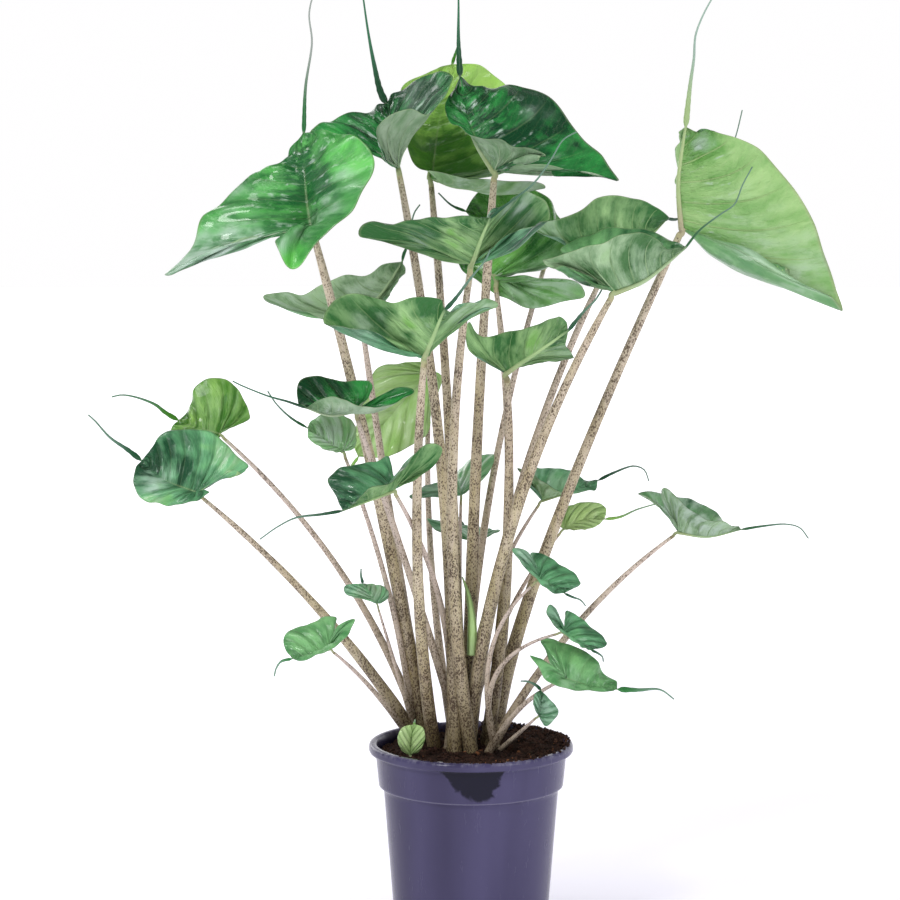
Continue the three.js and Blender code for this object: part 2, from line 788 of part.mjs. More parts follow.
// The shares at which a row of points is met, with one more between two that lie far apart
function stationShares(points, step) {
  const sums = distances(points);
  const shares = [0];
  for (let i = 1; i < points.length; i++) {
    const parts = Math.ceil((sums[i] - sums[i - 1]) / step);
    for (let k = 1; k <= parts; k++) {
      shares.push((sums[i - 1] + ((sums[i] - sums[i - 1]) * k) / parts) / sums.at(-1));
    }
  }
  return shares;
}

// One half of a blade as rows of points: each row runs from the rib, or past it from the joint, to the edge
function bladeRows(leaf, side, steps) {
  const place = (xyz) => vector(xyz).add(vector(leaf.joint));
  const rib = [vector(leaf.joint), ...leaf.rib.map(place)];
  const outline = [rib.at(-1), ...leaf[side].map(place), rib[0]];
  const shares = stationShares(outline, EDGE_STEP);
  const edge = shares.map((share) => pointAlong(outline, share));
  const grid = [];
  let reached = 0;
  edge.forEach((outer, i) => {
    reached = Math.min(reached + 1, steps.rib, Math.round((steps.rib * shares[i]) / FAN_START));
    const inner = pointAlong(rib, 1 - reached / steps.rib);
    const along = edge[Math.min(i + 1, edge.length - 1)].clone().sub(edge[Math.max(i - 1, 0)]);
    const outward = outer.clone().sub(inner);
    const upper = outward.clone().cross(along);
    if (side === "right") upper.negate();
    upper.setLength(leaf.arch * outward.length());
    const row = [];
    for (let j = 0; j <= steps.across; j++) {
      const t = j / steps.across;
      row.push(lerp(inner, outer, t).addScaledVector(upper, Math.sin(Math.PI * t)));
    }
    grid.push(row);
  });
  return grid;
}

// The middle of a blade as one sheet: both halves share the rib's points
function bladeSheet(leaf) {
  const steps = vector(leaf.rib.at(-1)).length() > LARGE_BLADE ? LARGE_STEPS : SMALL_STEPS;
  const middle = [];
  const triangles = [];
  const ribs = new Set();
  const known = new Map();
  const cornerAt = (p) => {
    const key = p.toArray().map((v) => v.toFixed(2)).join();
    if (!known.has(key)) known.set(key, middle.push(p) - 1);
    return known.get(key);
  };
  for (const side of ["left", "right"]) {
    const grid = bladeRows(leaf, side, steps).map((row) => row.map(cornerAt));
    for (const row of grid) ribs.add(row[0]);
    for (let i = 0; i < grid.length - 1; i++) {
      for (let j = 0; j < steps.across; j++) {
        const [a, b, c, d] = [grid[i][j], grid[i][j + 1], grid[i + 1][j], grid[i + 1][j + 1]];
        for (const [p, q, r] of [[a, b, d], [a, d, c]]) {
          if (p === q || q === r || r === p) continue;
          triangles.push(side === "left" ? [p, q, r] : [p, r, q]);
        }
      }
    }
  }
  const tip = 0;
  const joint = middle.findIndex((p) => p.distanceTo(vector(leaf.joint)) < 0.01);
  return { middle, triangles, ribs, tip, joint };
}

// A blade as a closed solid: its sheet made thick, more so below the midrib, and at each end of the midrib
// four corners that run on as a tube: the tail at the tip, and the neck at the joint
function leafSolid(leaf, neckEnd) {
  const sheet = bladeSheet(leaf);
  const { middle, ribs } = sheet;
  const normals = sheetNormals(sheet);
  const count = middle.length;
  const half = BLADE_THICKNESS / 2;
  const thick = leaf.girth[1];
  const depths = middle.map((_, k) => half + (ribs.has(k) ? thick * RIDGE : 0));
  const corners = [
    ...middle.map((p, k) => p.clone().addScaledVector(normals[k], half)),
    ...middle.map((p, k) => p.clone().addScaledVector(normals[k], -depths[k])),
  ];
  const triangles = sheet.triangles.flatMap(([a, b, c]) => [
    [a, b, c],
    [a + count, c + count, b + count],
  ]);
  const tubes = new Map([
    [sheet.tip, tailLine(leaf)],
    [sheet.joint, neckLine(leaf, neckEnd)],
  ]);
  for (const [at, line] of tubes) {
    const aside = line.points[1].clone().sub(middle[at]).cross(normals[at]).setLength(line.radii[0]);
    line.ring = [at, corners.push(middle[at].clone().add(aside)) - 1];
    line.ring.push(at + count, corners.push(middle[at].clone().sub(aside)) - 1);
  }
  for (const [p, q] of openEdges(sheet.triangles)) {
    const into = tubes.get(q)?.ring[1];
    const out = tubes.get(p)?.ring[3];
    if (into) triangles.push([into, q, p], [into, p, p + count], [into, p + count, q + count]);
    else if (out) triangles.push([out, p + count, q + count], [out, q + count, q], [out, q, p]);
    else triangles.push([q, p, p + count], [q, p + count, q + count]);
  }
  for (const [at, line] of tubes) carryOn({ corners, triangles }, line, normals[at]);
  return { corners, triangles };
}

function sheetNormals({ middle, triangles }) {
  const normals = middle.map(() => new THREE.Vector3());
  for (const [a, b, c] of triangles) {
    const turn = middle[b].clone().sub(middle[a]).cross(middle[c].clone().sub(middle[a]));
    for (const k of [a, b, c]) normals[k].add(turn);
  }
  return normals.map((normal) => normal.normalize());
}

// The edges of a sheet that only one triangle has
function openEdges(triangles) {
  const edges = triangles.flatMap(([a, b, c]) => [[a, b], [b, c], [c, a]]);
  const known = new Set(edges.map(String));
  return edges.filter(([p, q]) => !known.has(`${q},${p}`));
}

// The points and radii of a tail, from the tip of the midrib to its thin end
function tailLine(leaf) {
  const outline = [leaf.rib.at(-1), ...leaf.tail].map((xyz) => vector(xyz).add(vector(leaf.joint)));
  const shares = stationShares(outline, TAIL_STATION);
  const root = leaf.girth[1] * RIB_THINNING;
  return {
    points: shares.map((share) => pointAlong(outline, share)),
    radii: shares.map((share) => THREE.MathUtils.lerp(root, TAIL_RADIUS, share ** 0.8)),
  };
}

// The points and radii of a neck, which leaves the blade along its midrib and turns down to the stalk
function neckLine(leaf, end) {
  const joint = vector(leaf.joint);
  const thick = leaf.girth[1];
  const back = vector(leaf.rib[0]).negate().setLength(thick * NECK_TURN);
  const points = [joint, lerp(joint, end, NECK_TURN_SHARE).add(back), lerp(joint, end, 0.7), end];
  return { points, radii: [thick * 0.9, thick, thick, thick] };
}

// Continues a solid from a ring of four corners as a tube of changing radius, and closes it
function carryOn({ corners, triangles }, { points, radii, ring }, normal) {
  const towards = (i) => points[Math.min(i + 1, points.length - 1)].clone().sub(points[i - 1]).normalize();
  let ahead = points[1].clone().sub(points[0]).normalize();
  let up = normal.clone().addScaledVector(ahead, -normal.dot(ahead)).normalize();
  let last = ring;
  for (let i = 1; i < points.length; i++) {
    const next = towards(i);
    up = up.clone().applyQuaternion(new THREE.Quaternion().setFromUnitVectors(ahead, next));
    ahead = next;
    const across = ahead.clone().cross(up);
    const current = [up, across, up.clone().negate(), across.clone().negate()].map(
      (direction) => corners.push(points[i].clone().addScaledVector(direction, radii[i])) - 1,
    );
    for (let k = 0; k < 4; k++) {
      const n = (k + 1) % 4;
      triangles.push([last[k], last[n], current[k]], [last[n], current[n], current[k]]);
    }
    last = current;
  }
  triangles.push([last[0], last[1], last[2]], [last[0], last[2], last[3]]);
}

function potSolid() {
  const inner = (radius) => radius - POT_WALL;
  const collarTop = POT_HEIGHT - LIP_HEIGHT;
  const outside = [
    [0, 0],
    [FOOT_RADIUS, 0],
    [BODY_TOP_RADIUS, COLLAR_FOOT],
    [COLLAR_FOOT_RADIUS, COLLAR_FOOT],
    [COLLAR_TOP_RADIUS, collarTop],
    [LIP_RADIUS - 1, collarTop],
    [LIP_RADIUS, collarTop + 2],
    [LIP_RADIUS, POT_HEIGHT - 2.5],
    [LIP_RADIUS - 2.5, POT_HEIGHT],
  ];
  const inside = [
    [LIP_RADIUS - LIP_WIDTH, POT_HEIGHT],
    [inner(COLLAR_TOP_RADIUS), collarTop - 4],
    [inner(COLLAR_FOOT_RADIUS), COLLAR_FOOT + 2],
    [inner(BODY_TOP_RADIUS), COLLAR_FOOT - 2],
    [inner(FOOT_RADIUS), POT_FLOOR],
    [0, POT_FLOOR],
  ];
  let body = solid(turned([...outside, ...inside]));
  for (let i = 0; i < DRAIN_HOLES; i++) {
    const angle = (2 * Math.PI * (i + 0.5)) / DRAIN_HOLES;
    const [x, y] = [DRAIN_CIRCLE * Math.cos(angle), DRAIN_CIRCLE * Math.sin(angle)];
    const ends = [new THREE.Vector3(x, y, -1), new THREE.Vector3(x, y, POT_FLOOR + 1)];
    body = body.subtract(solid(tube(ends, [DRAIN_RADIUS, DRAIN_RADIUS], DRAIN_SEGMENTS)));
  }
  return body;
}

// Lumps of the soil's surface, from waves that cross at odd angles
function soilHeight(x, y) {
  const lengthwise = Math.sin(x * 0.31 + 1.7 * Math.sin(y * 0.13));
  const crosswise = Math.sin(y * 0.37 + 1.3 * Math.sin(x * 0.17 + 2));
  return SOIL_LEVEL + SOIL_RELIEF * 0.5 * (lengthwise + crosswise);
}

function soilSolid() {
  const inner = (radius) => radius - POT_WALL - CLEARANCE;
  const edge = inner(COLLAR_TOP_RADIUS) - 0.3;
  const profile = [
    [0, POT_FLOOR + CLEARANCE],
    [inner(FOOT_RADIUS), POT_FLOOR + CLEARANCE],
    [inner(BODY_TOP_RADIUS), COLLAR_FOOT - 2],
    [inner(COLLAR_FOOT_RADIUS) - 0.3, COLLAR_FOOT + 3],
    [edge, SOIL_LEVEL - 5],
  ];
  for (let k = 0; k < SOIL_RINGS; k++) profile.push([edge * (1 - k / SOIL_RINGS), SOIL_LEVEL]);
  profile.push([0, SOIL_LEVEL]);
  const shape = turned(profile, (p) => {
    if (p.z > SOIL_LEVEL - 1) p.z = soilHeight(p.x, p.y);
  });
  let body = solid(shape);
  for (const name of PLANTS) {
    const feet = LEAVES.filter((leaf) => leaf.plant === name).flatMap((leaf) => footTube(leaf).corners);
    body = body.subtract(solid(shared(new ConvexGeometry(feet))));
  }
  const radius = SPROUT.girth[1] + HOLE_CLEARANCE + 0.5;
  const low = sproutFoot().add(new THREE.Vector3(0, 0, -HOLE_CLEARANCE));
  const high = vector(SPROUT.joint).add(new THREE.Vector3(0, 0, HOLE_TOP));
  return body.subtract(solid(tube([low, high], [radius, radius], 6)));
}

// The foot of the sprout, which stands in the soil
function sproutFoot() {
  return vector(SPROUT.joint).add(new THREE.Vector3(0, 0, -STALK_DEPTH / 2));
}

function shootSolid(around) {
  const points = SHOOT.path.map(vector);
  return solid(tube(points, SHOOT.radii, SHOOT.sides)).subtract(around);
}

function plantStalks(plant, margin) {
  return LEAVES.filter((leaf) => leaf.plant === plant)
    .map((leaf) => stalkTube(leaf, margin))
    .reduce((all, one) => all.add(one));
}

const plant = new THREE.Group();
plant.add(piece("pot", potSolid(), "pot"));
plant.add(piece("soil", soilSolid(), "soil"));
for (const name of PLANTS) {
  plant.add(piece(name, plantStalks(name, 0), "stalk"));
}
for (const leaf of LEAVES) {
  const curve = stalkCurve(leaf);
  const neckEnd = curve.getPoint(shareBelow(curve, neckLength(leaf)));
  plant.add(piece(leaf.name, solid(leafSolid(leaf, neckEnd)), leaf.finish));
}
plant.add(piece(SPROUT.name, solid(leafSolid(SPROUT, sproutFoot())), SPROUT.finish));
plant.add(piece(SHOOT.name, shootSolid(plantStalks("stalks_main", CLEARANCE)), SHOOT.finish));

export default plant;
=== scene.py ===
"""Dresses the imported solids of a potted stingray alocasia.

Fine leaves, stalks, soil and a turned pot take the place of the plain solids. The tables hold sizes in
millimetres, in the frame of the solids, and every mesh is made in metres.
"""

import logging
import math
from dataclasses import dataclass
from enum import Enum
from typing import Any, Iterable, Sequence

import bpy
import numpy as np
from mathutils import Euler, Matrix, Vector, noise


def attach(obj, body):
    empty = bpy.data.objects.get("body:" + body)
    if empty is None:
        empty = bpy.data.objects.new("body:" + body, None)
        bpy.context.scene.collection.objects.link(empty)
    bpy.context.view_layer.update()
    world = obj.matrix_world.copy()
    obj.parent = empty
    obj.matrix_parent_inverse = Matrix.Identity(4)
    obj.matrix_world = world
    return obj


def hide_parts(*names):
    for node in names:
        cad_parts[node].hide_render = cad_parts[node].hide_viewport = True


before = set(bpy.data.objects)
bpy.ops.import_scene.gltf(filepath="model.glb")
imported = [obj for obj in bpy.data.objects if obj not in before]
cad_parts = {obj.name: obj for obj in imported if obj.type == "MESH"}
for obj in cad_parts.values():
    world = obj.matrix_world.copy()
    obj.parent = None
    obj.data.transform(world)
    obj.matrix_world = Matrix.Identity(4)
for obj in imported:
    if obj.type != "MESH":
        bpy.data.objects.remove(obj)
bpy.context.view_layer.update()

log = logging.getLogger("alocasia")

MM = 0.001
BODY = "root"
# Heights above the floor, in millimetres
SOIL_LEVEL = 190
COLLAR_FOOT = 156
POT_HEIGHT = 200
# Without a seed, noise_vector takes its offsets from the clock
NOISE_SEED = 7
# What the corners of a leaf's mesh carry: 1 on the lower face, 1 on the cord of neck, midrib and tail, the
# way along that cord (from 0 on the neck, 1 on the midrib and 2 on the tail), how much lighter or darker the
# blade is painted for light and shade, and how much painted sheen it takes
LEAF_VALUES = ("under", "core", "run", "tone", "sheen")

Point = tuple[float, float, float]
Colour = tuple[float, float, float]
Patch = tuple[float, float, float, float]
Halves = dict[str, np.ndarray]


def srgb(code: str) -> Colour:
    """Turns a display colour into the linear one that shaders use.

    Args:
        code: Red, green and blue as six hexadecimal digits.

    Returns:
        The linear red, green and blue.
    """
    parts = [int(code[i : i + 2], 16) / 255 for i in (0, 2, 4)]
    return tuple(v / 12.92 if v <= 0.04045 else ((v + 0.055) / 1.055) ** 2.4 for v in parts)


def unit(rows: np.ndarray) -> np.ndarray:
    """Gives each row of an array the length 1.

    Args:
        rows: Vectors along the last axis.

    Returns:
        The unit vectors; one of no length stays as it is.
    """
    return rows / np.maximum(np.linalg.norm(rows, axis=-1, keepdims=True), 1e-9)


def smooth(value: np.ndarray | float, low: float, high: float) -> np.ndarray:
    """Rises smoothly from 0 at low to 1 at high.

    Args:
        value: The numbers to map.
        low: Where the rise starts.
        high: Where it ends.

    Returns:
        The mapped numbers.
    """
    share = np.clip((value - low) / (high - low), 0, 1)
    return share * share * (3 - 2 * share)


def noise_at(points: np.ndarray) -> np.ndarray:
    """Draws smooth noise from -1 to 1.

    Args:
        points: Points along the last axis, one unit of noise apart.

    Returns:
        The noise at each point.
    """
    drawn = [noise.noise(Vector(point)) for point in points.reshape(-1, 3)]
    return np.array(drawn).reshape(points.shape[:-1])


class Path:
    """A smooth curve through points, met at shares of their straight distances."""

    def __init__(self, points: Iterable[Sequence[float]]) -> None:
        """Stores the points and the distance of each from the first."""
        self.points = np.array([list(p) for p in points], float)
        steps = np.linalg.norm(np.diff(self.points, axis=0), axis=1)
        self.sums = np.concatenate([[0], np.cumsum(steps)])

    @property
    def length(self) -> float:
        """The straight distance from point to point, in all."""
        return float(self.sums[-1])

    def at(self, shares: np.ndarray | Sequence[float]) -> np.ndarray:
        """Finds the points of the curve at shares of its length.

        Args:
            shares: Numbers from 0 to 1.

        Returns:
            One point a row.
        """
        points = self.points
        goal = np.clip(np.asarray(shares, float), 0, 1) * self.length
        k = np.clip(np.searchsorted(self.sums, goal - 1e-9), 1, len(points) - 1)
        within = np.clip((goal - self.sums[k - 1]) / (self.sums[k] - self.sums[k - 1]), 0, 1)[:, None]
        padded = np.vstack([2 * points[0] - points[1], points, 2 * points[-1] - points[-2]])
        p0, p1, p2, p3 = (padded[k - 1 + i] for i in range(4))
        d0, d1, d2 = (
            np.sqrt(np.linalg.norm(b - a, axis=1, keepdims=True)) for a, b in ((p0, p1), (p1, p2), (p2, p3))
        )
        start = ((p1 - p0) / d0 - (p2 - p0) / (d0 + d1) + (p2 - p1) / d1) * d1
        end = ((p2 - p1) / d1 - (p3 - p1) / (d1 + d2) + (p3 - p2) / d2) * d1
        square, cube = within**2, within**3
        bend = -3 * p1 + 3 * p2 - 2 * start - end
        twist = 2 * p1 - 2 * p2 + start + end
        return p1 + start * within + bend * square + twist * cube


class Form:
    """A mesh that grows shell by shell, in millimetres; corners nearer than MERGE become one."""

    MERGE = 0.02

    def __init__(self, *values: str) -> None:
        """Starts an empty form whose corners carry the named values."""
        self.corners: list[np.ndarray] = []
        self.faces: list[np.ndarray] = []
        self.grain: list[np.ndarray] = []
        self.values: dict[str, list[np.ndarray]] = {name: [] for name in values}
        self.count = 0

    def add(self, corners: np.ndarray, faces: np.ndarray, grain: np.ndarray, **values: Any) -> None:
        """Adds a shell.

        Args:
            corners: Points, one a row.
            faces: Four corner numbers a row; a triangle has one of them twice.
            grain: A pair of surface coordinates for each corner.
            **values: A number, or one for each corner, for each named value.
        """
        self.faces.append(faces + self.count)
        self.corners.append(corners)
        self.grain.append(grain)
        self.count += len(corners)
        for name, rows in self.values.items():
            rows.append(np.broadcast_to(np.asarray(values.get(name, 0), float), (len(corners),)))

    def piece(self, name: str, material: bpy.types.Material) -> bpy.types.Object:
        """Builds the object.

        Args:
            name: The object's name.
            material: Its finish.

        Returns:
            The new object, smooth shaded, with the surface coordinates as a UV map.
        """
        corners = np.vstack(self.corners)
        faces = np.vstack(self.faces)
        grain = np.vstack(self.grain)
        keys = np.round(corners / self.MERGE).astype(np.int64)
        _, first, same = np.unique(keys, axis=0, return_index=True, return_inverse=True)
        merged = same.reshape(-1)[faces]
        kept = merged != np.roll(merged, -1, axis=1)
        sound = (kept.sum(axis=1) > 2) & (merged[:, 0] != merged[:, 2]) & (merged[:, 1] != merged[:, 3])
        rows = [
            [corner for corner, keep in zip(row, keeps) if keep]
            for row, keeps in zip(merged[sound].tolist(), kept[sound].tolist())
        ]
        mesh = bpy.data.meshes.new(name)
        mesh.from_pydata((corners[first] * MM).tolist(), [], rows)
        layer = mesh.uv_layers.new(name="grain")
        loops = grain[faces[sound]][kept[sound]]
        layer.data.foreach_set("uv", loops.astype(np.float32).ravel())
        for value, parts in self.values.items():
            attribute = mesh.attributes.new(value, "FLOAT", "POINT")
            attribute.data.foreach_set("value", np.concatenate(parts)[first].astype(np.float32))
        mesh.shade_smooth()
        mesh.materials.append(material)
        made = bpy.data.objects.new(name, mesh)
        bpy.context.scene.collection.objects.link(made)
        return made


def grid_faces(rows: int, columns: int, closed: bool = False) -> np.ndarray:
    """Numbers the faces of a grid of corners that is stored row by row.

    Args:
        rows: How many rows of corners there are.
        columns: How many corners a row has.
        closed: Whether each row runs on from its last corner to its first.

    Returns:
        Four corner numbers a row.
    """
    i, j = np.meshgrid(np.arange(rows - 1), np.arange(columns if closed else columns - 1), indexing="ij")
    a = (i * columns + j).ravel()
    b = (i * columns + (j + 1) % columns).ravel()
    return np.stack([a, b, b + columns, a + columns], axis=1)


def turned(profile: np.ndarray, sides: int) -> np.ndarray:
    """Turns half a section round the upright axis.

    Args:
        profile: The radius and the height of each of its points.
        sides: How many corners each ring has.

    Returns:
        The corners of each ring.
    """
    turn = np.linspace(0, 2 * np.pi, sides, endpoint=False)
    radius, height = profile[:, :1], profile[:, 1:]
    return np.stack(np.broadcast_arrays(radius * np.cos(turn), radius * np.sin(turn), height), axis=-1)


def sweep(
    form: Form,
    points: np.ndarray,
    wide: np.ndarray,
    high: np.ndarray,
    up: np.ndarray,
    sides: int,
    spots: np.ndarray | None = None,
    **values: Any,
) -> None:
    """Adds a closed tube of changing section to a form.

    Args:
        form: The form that takes the tube.
        points: The tube's middle line, one point a row.
        wide: Half its width at each point.
        high: Half its height at each point.
        up: A direction near its height: one for each point, or one for the start that is carried along.
        sides: How many sides it has.
        spots: Surface coordinates for each point, in place of those round and along the tube.
        **values: The values of its corners: a number each, or one for each point.
    """
    # The tube closes on a point just beyond each end
    before = points[0] - (points[1] - points[0]) * 0.02
    beyond = points[-1] + (points[-1] - points[-2]) * 0.02
    line = np.vstack([before, points, beyond])
    ahead = unit(np.gradient(line, axis=0))
    heights = np.empty_like(line)
    if np.ndim(up) == 2:
        heights[1:-1] = up
        heights[0], heights[-1] = up[0], up[-1]
        heights -= (heights * ahead).sum(axis=1, keepdims=True) * ahead
    else:
        carried = np.asarray(up, float)
        for i, way in enumerate(ahead):
            carried = unit(carried - carried.dot(way) * way)
            heights[i] = carried
    heights = unit(heights)
    across = np.cross(ahead, heights)
    turn = np.linspace(0, 2 * np.pi, sides, endpoint=False)
    half_wide = np.concatenate([[0], wide, [0]])[:, None, None]
    half_high = np.concatenate([[0], high, [0]])[:, None, None]
    ring = half_wide * np.cos(turn)[None, :, None] * across[:, None]
    ring = ring + half_high * np.sin(turn)[None, :, None] * heights[:, None]
    corners = line[:, None] + ring
    run = np.concatenate([[0], np.cumsum(np.linalg.norm(np.diff(line, axis=0), axis=1))])
    grain = np.stack(np.meshgrid(run * MM, np.arange(sides) / sides, indexing="ij"), axis=-1)[..., ::-1]
    if spots is not None:
        grain = np.repeat(np.vstack([spots[:1], spots, spots[-1:]]), sides, axis=0)
    full = {}
    for name, value in values.items():
        value = np.asarray(value, float)
        if value.ndim:
            value = np.repeat(np.concatenate([value[:1], value, value[-1:]]), sides)
        full[name] = value
    faces = grid_faces(len(line), sides, closed=True)[:, ::-1]
    form.add(corners.reshape(-1, 3), faces, grain.reshape(-1, 2), **full)


class Value:
    """A number that a shader works out, whose arithmetic adds Math nodes."""

    def __init__(self, shade: "Shade", socket: bpy.types.NodeSocket | None) -> None:
        """Wraps an output socket."""
        self.shade = shade
        self.socket = socket

    def _math(self, operation: str, *terms: "Value | float") -> "Value":
        """Adds one Math node."""
        return self.shade.node("ShaderNodeMath", {"operation": operation}, dict(enumerate(terms)))

    def __add__(self, other: "Value | float") -> "Value":
        """Sum."""
        return self._math("ADD", self, other)

    def __radd__(self, other: float) -> "Value":
        """Sum with a number on the left."""
        return self._math("ADD", other, self)

    def __sub__(self, other: "Value | float") -> "Value":
        """Difference."""
        return self._math("SUBTRACT", self, other)

    def __rsub__(self, other: float) -> "Value":
        """Difference from a number."""
        return self._math("SUBTRACT", other, self)

    def __mul__(self, other: "Value | float") -> "Value":
        """Product."""
        return self._math("MULTIPLY", self, other)

    def from_whole(self) -> "Value":
        """The distance to the nearest whole number, from 0 to 0.5."""
        return self._math("PINGPONG", self, 0.5)

    def rise(self, low: float, high: float) -> "Value":
        """A smooth rise from 0 at low to 1 at high, or a fall where low is the higher."""
        settings = {"interpolation_type": "SMOOTHSTEP"}
        if low <= high:
            return self.shade.node("ShaderNodeMapRange", settings, {"Value": self, 1: low, 2: high})
        inputs = {"Value": self, 1: high, 2: low, 3: 1.0, 4: 0.0}
        return self.shade.node("ShaderNodeMapRange", settings, inputs)


class Shade:
    """The node tree of a material, or of the surroundings, under construction."""

    def __init__(self, name: str, kind: str = "materials") -> None:
        """Starts one with an empty node tree.

        Args:
            name: Its name.
            kind: The collection that it belongs to: materials or worlds.
        """
        self.owner = getattr(bpy.data, kind).new(name)
        self.owner.use_nodes = True
        self.tree = self.owner.node_tree
        self.tree.nodes.clear()

    def node(
        self,
        kind: str,
        settings: dict[str, Any] | None = None,
        inputs: dict[int | str, Any] | None = None,
        output: int | str = 0,
    ) -> Value:
        """Adds a node.

        Args:
            kind: The node's type.
            settings: Its own settings, set first.
            inputs: Numbers, colours or values by the socket's name or number.
            output: The socket that is returned.

        Returns:
            The node's output.
        """
        made = self.tree.nodes.new(kind)
        for name, setting in (settings or {}).items():
            setattr(made, name, setting)
        for name, term in (inputs or {}).items():
            socket = made.inputs[name]
            if isinstance(term, Value):
                self.tree.links.new(term.socket, socket)
            elif isinstance(term, tuple) and socket.type == "RGBA":
                socket.default_value = (*term, 1)
            else:
                socket.default_value = term
        return Value(self, made.outputs[output] if len(made.outputs) else None)

    def mix(self, factor: Value | float, first: Any, second: Any) -> Value:
        """Mixes two colours.

        Args:
            factor: How much of the second there is.
            first: A colour or a value.
            second: A colour or a value.

        Returns:
            The mixed colour.
        """
        return self.node("ShaderNodeMix", {"data_type": "RGBA"}, {0: factor, 6: first, 7: second}, output=2)

    def layers(self, colour: Any, *coats: tuple[Value | float, Any]) -> Value:
        """Lays coats over a colour.

        Args:
            colour: The colour at the bottom.
            *coats: How much of each coat there is, and its colour, from the bottom up.

        Returns:
            The colour that shows.
        """
        for amount, coat in coats:
            colour = self.mix(amount, colour, coat)
        return colour

    def held(self, name: str) -> Value:
        """The value that the mesh's corners carry under a name."""
        return self.node("ShaderNodeAttribute", {"attribute_name": name}, output="Fac")

    def place(self, stretch: Point = (1, 1, 1)) -> Value:
        """The place on the object, in metres, stretched along each axis."""
        at = self.node("ShaderNodeTexCoord", output="Object")
        settings = {"operation": "MULTIPLY"}
        return self.node("ShaderNodeVectorMath", settings, {0: at, 1: stretch})

    def grain(self) -> tuple[Value, Value]:
        """The two surface coordinates."""
        both = self.node("ShaderNodeUVMap", {"uv_map": "grain"})
        split = self.node("ShaderNodeSeparateXYZ", inputs={0: both})
        outputs = split.socket.node.outputs
        return Value(self, outputs[0]), Value(self, outputs[1])

    def cloud(self, place: Value, scale: float, detail: float = 3, roughness: float = 0.5) -> Value:
        """Noise of a scale in features to the metre."""
        inputs = {"Vector": place, "Scale": scale, "Detail": detail, "Roughness": roughness}
        return self.node("ShaderNodeTexNoise", inputs=inputs, output="Fac")

    def bump(self, height: Value, strength: float, depth: float) -> Value:
        """A normal that follows a height of 0 to 1 over a depth in metres."""
        inputs = {"Height": height, "Strength": strength, "Distance": depth}
        return self.node("ShaderNodeBump", inputs=inputs)

    def finish(self, **sockets: Any) -> bpy.types.Material:
        """Closes the material with one surface.

        Args:
            **sockets: The surface's inputs by name, with _ for a space.

        Returns:
            The material.
        """
        inputs = {name.replace("_", " "): term for name, term in sockets.items()}
        surface = self.node("ShaderNodeBsdfPrincipled", inputs=inputs)
        self.node("ShaderNodeOutputMaterial", inputs={"Surface": surface})
        return self.owner


class LeafGrain:
    """The patterns that the colours, the gloss and the relief of a leaf share."""

    PATCHES = (18, 4)
    MOTTLE = (75, 4, 0.6)
    FINE = (420, 3, 0.6)
    FOLDS = (1.4, 5, 0.55)
    CREASES = (4.2, 3, 0.6)

    def __init__(self, shade: Shade, veins: int, sweep_forward: float, puckers: float) -> None:
        """Adds the nodes of the patterns.

        Args:
            shade: The material that they belong to.
            veins: How many spaces the side veins leave on each half.
            sweep_forward: How far the veins run forward on their way to the edge.
            puckers: How strong the puckers beside the midrib are.
        """
        along, across = shade.grain()
        self.under, self.core, self.run, self.tone, self.sheen = map(shade.held, LEAF_VALUES)
        place = shade.place()
        self.patches = shade.cloud(place, *self.PATCHES)
        self.mottle = shade.cloud(place, *self.MOTTLE)
        self.fine = shade.cloud(place, *self.FINE)
        self.course = (along + across * across * sweep_forward) * veins
        inputs = {0: self.course, 1: across * 0.9, 2: self.patches * 1.6}
        fan = shade.node("ShaderNodeCombineXYZ", inputs=inputs)
        self.folds = shade.cloud(fan, *self.FOLDS)
        self.creases = shade.cloud(fan, *self.CREASES)
        self.gap = self.course.from_whole()
        vein = self.gap.rise(0.05, 0.005) * across.rise(1.02, 0.6) * across.rise(0.0, 0.04)
        branch = (self.course * 4.0 + self.mottle * 1.6 + across * 5.0).from_whole().rise(0.14, 0.02)
        self.lines = vein + branch * self.gap.rise(0.02, 0.12) * 0.3
        self.midrib = across.rise(0.03, 0.004) * along.rise(0.1, 0.5)
        self.edge = across.rise(0.97, 0.992)
        self.root = across.rise(0.95, 0.15) * (along.rise(0.55, 0.05) * 0.6 + 0.4) * puckers


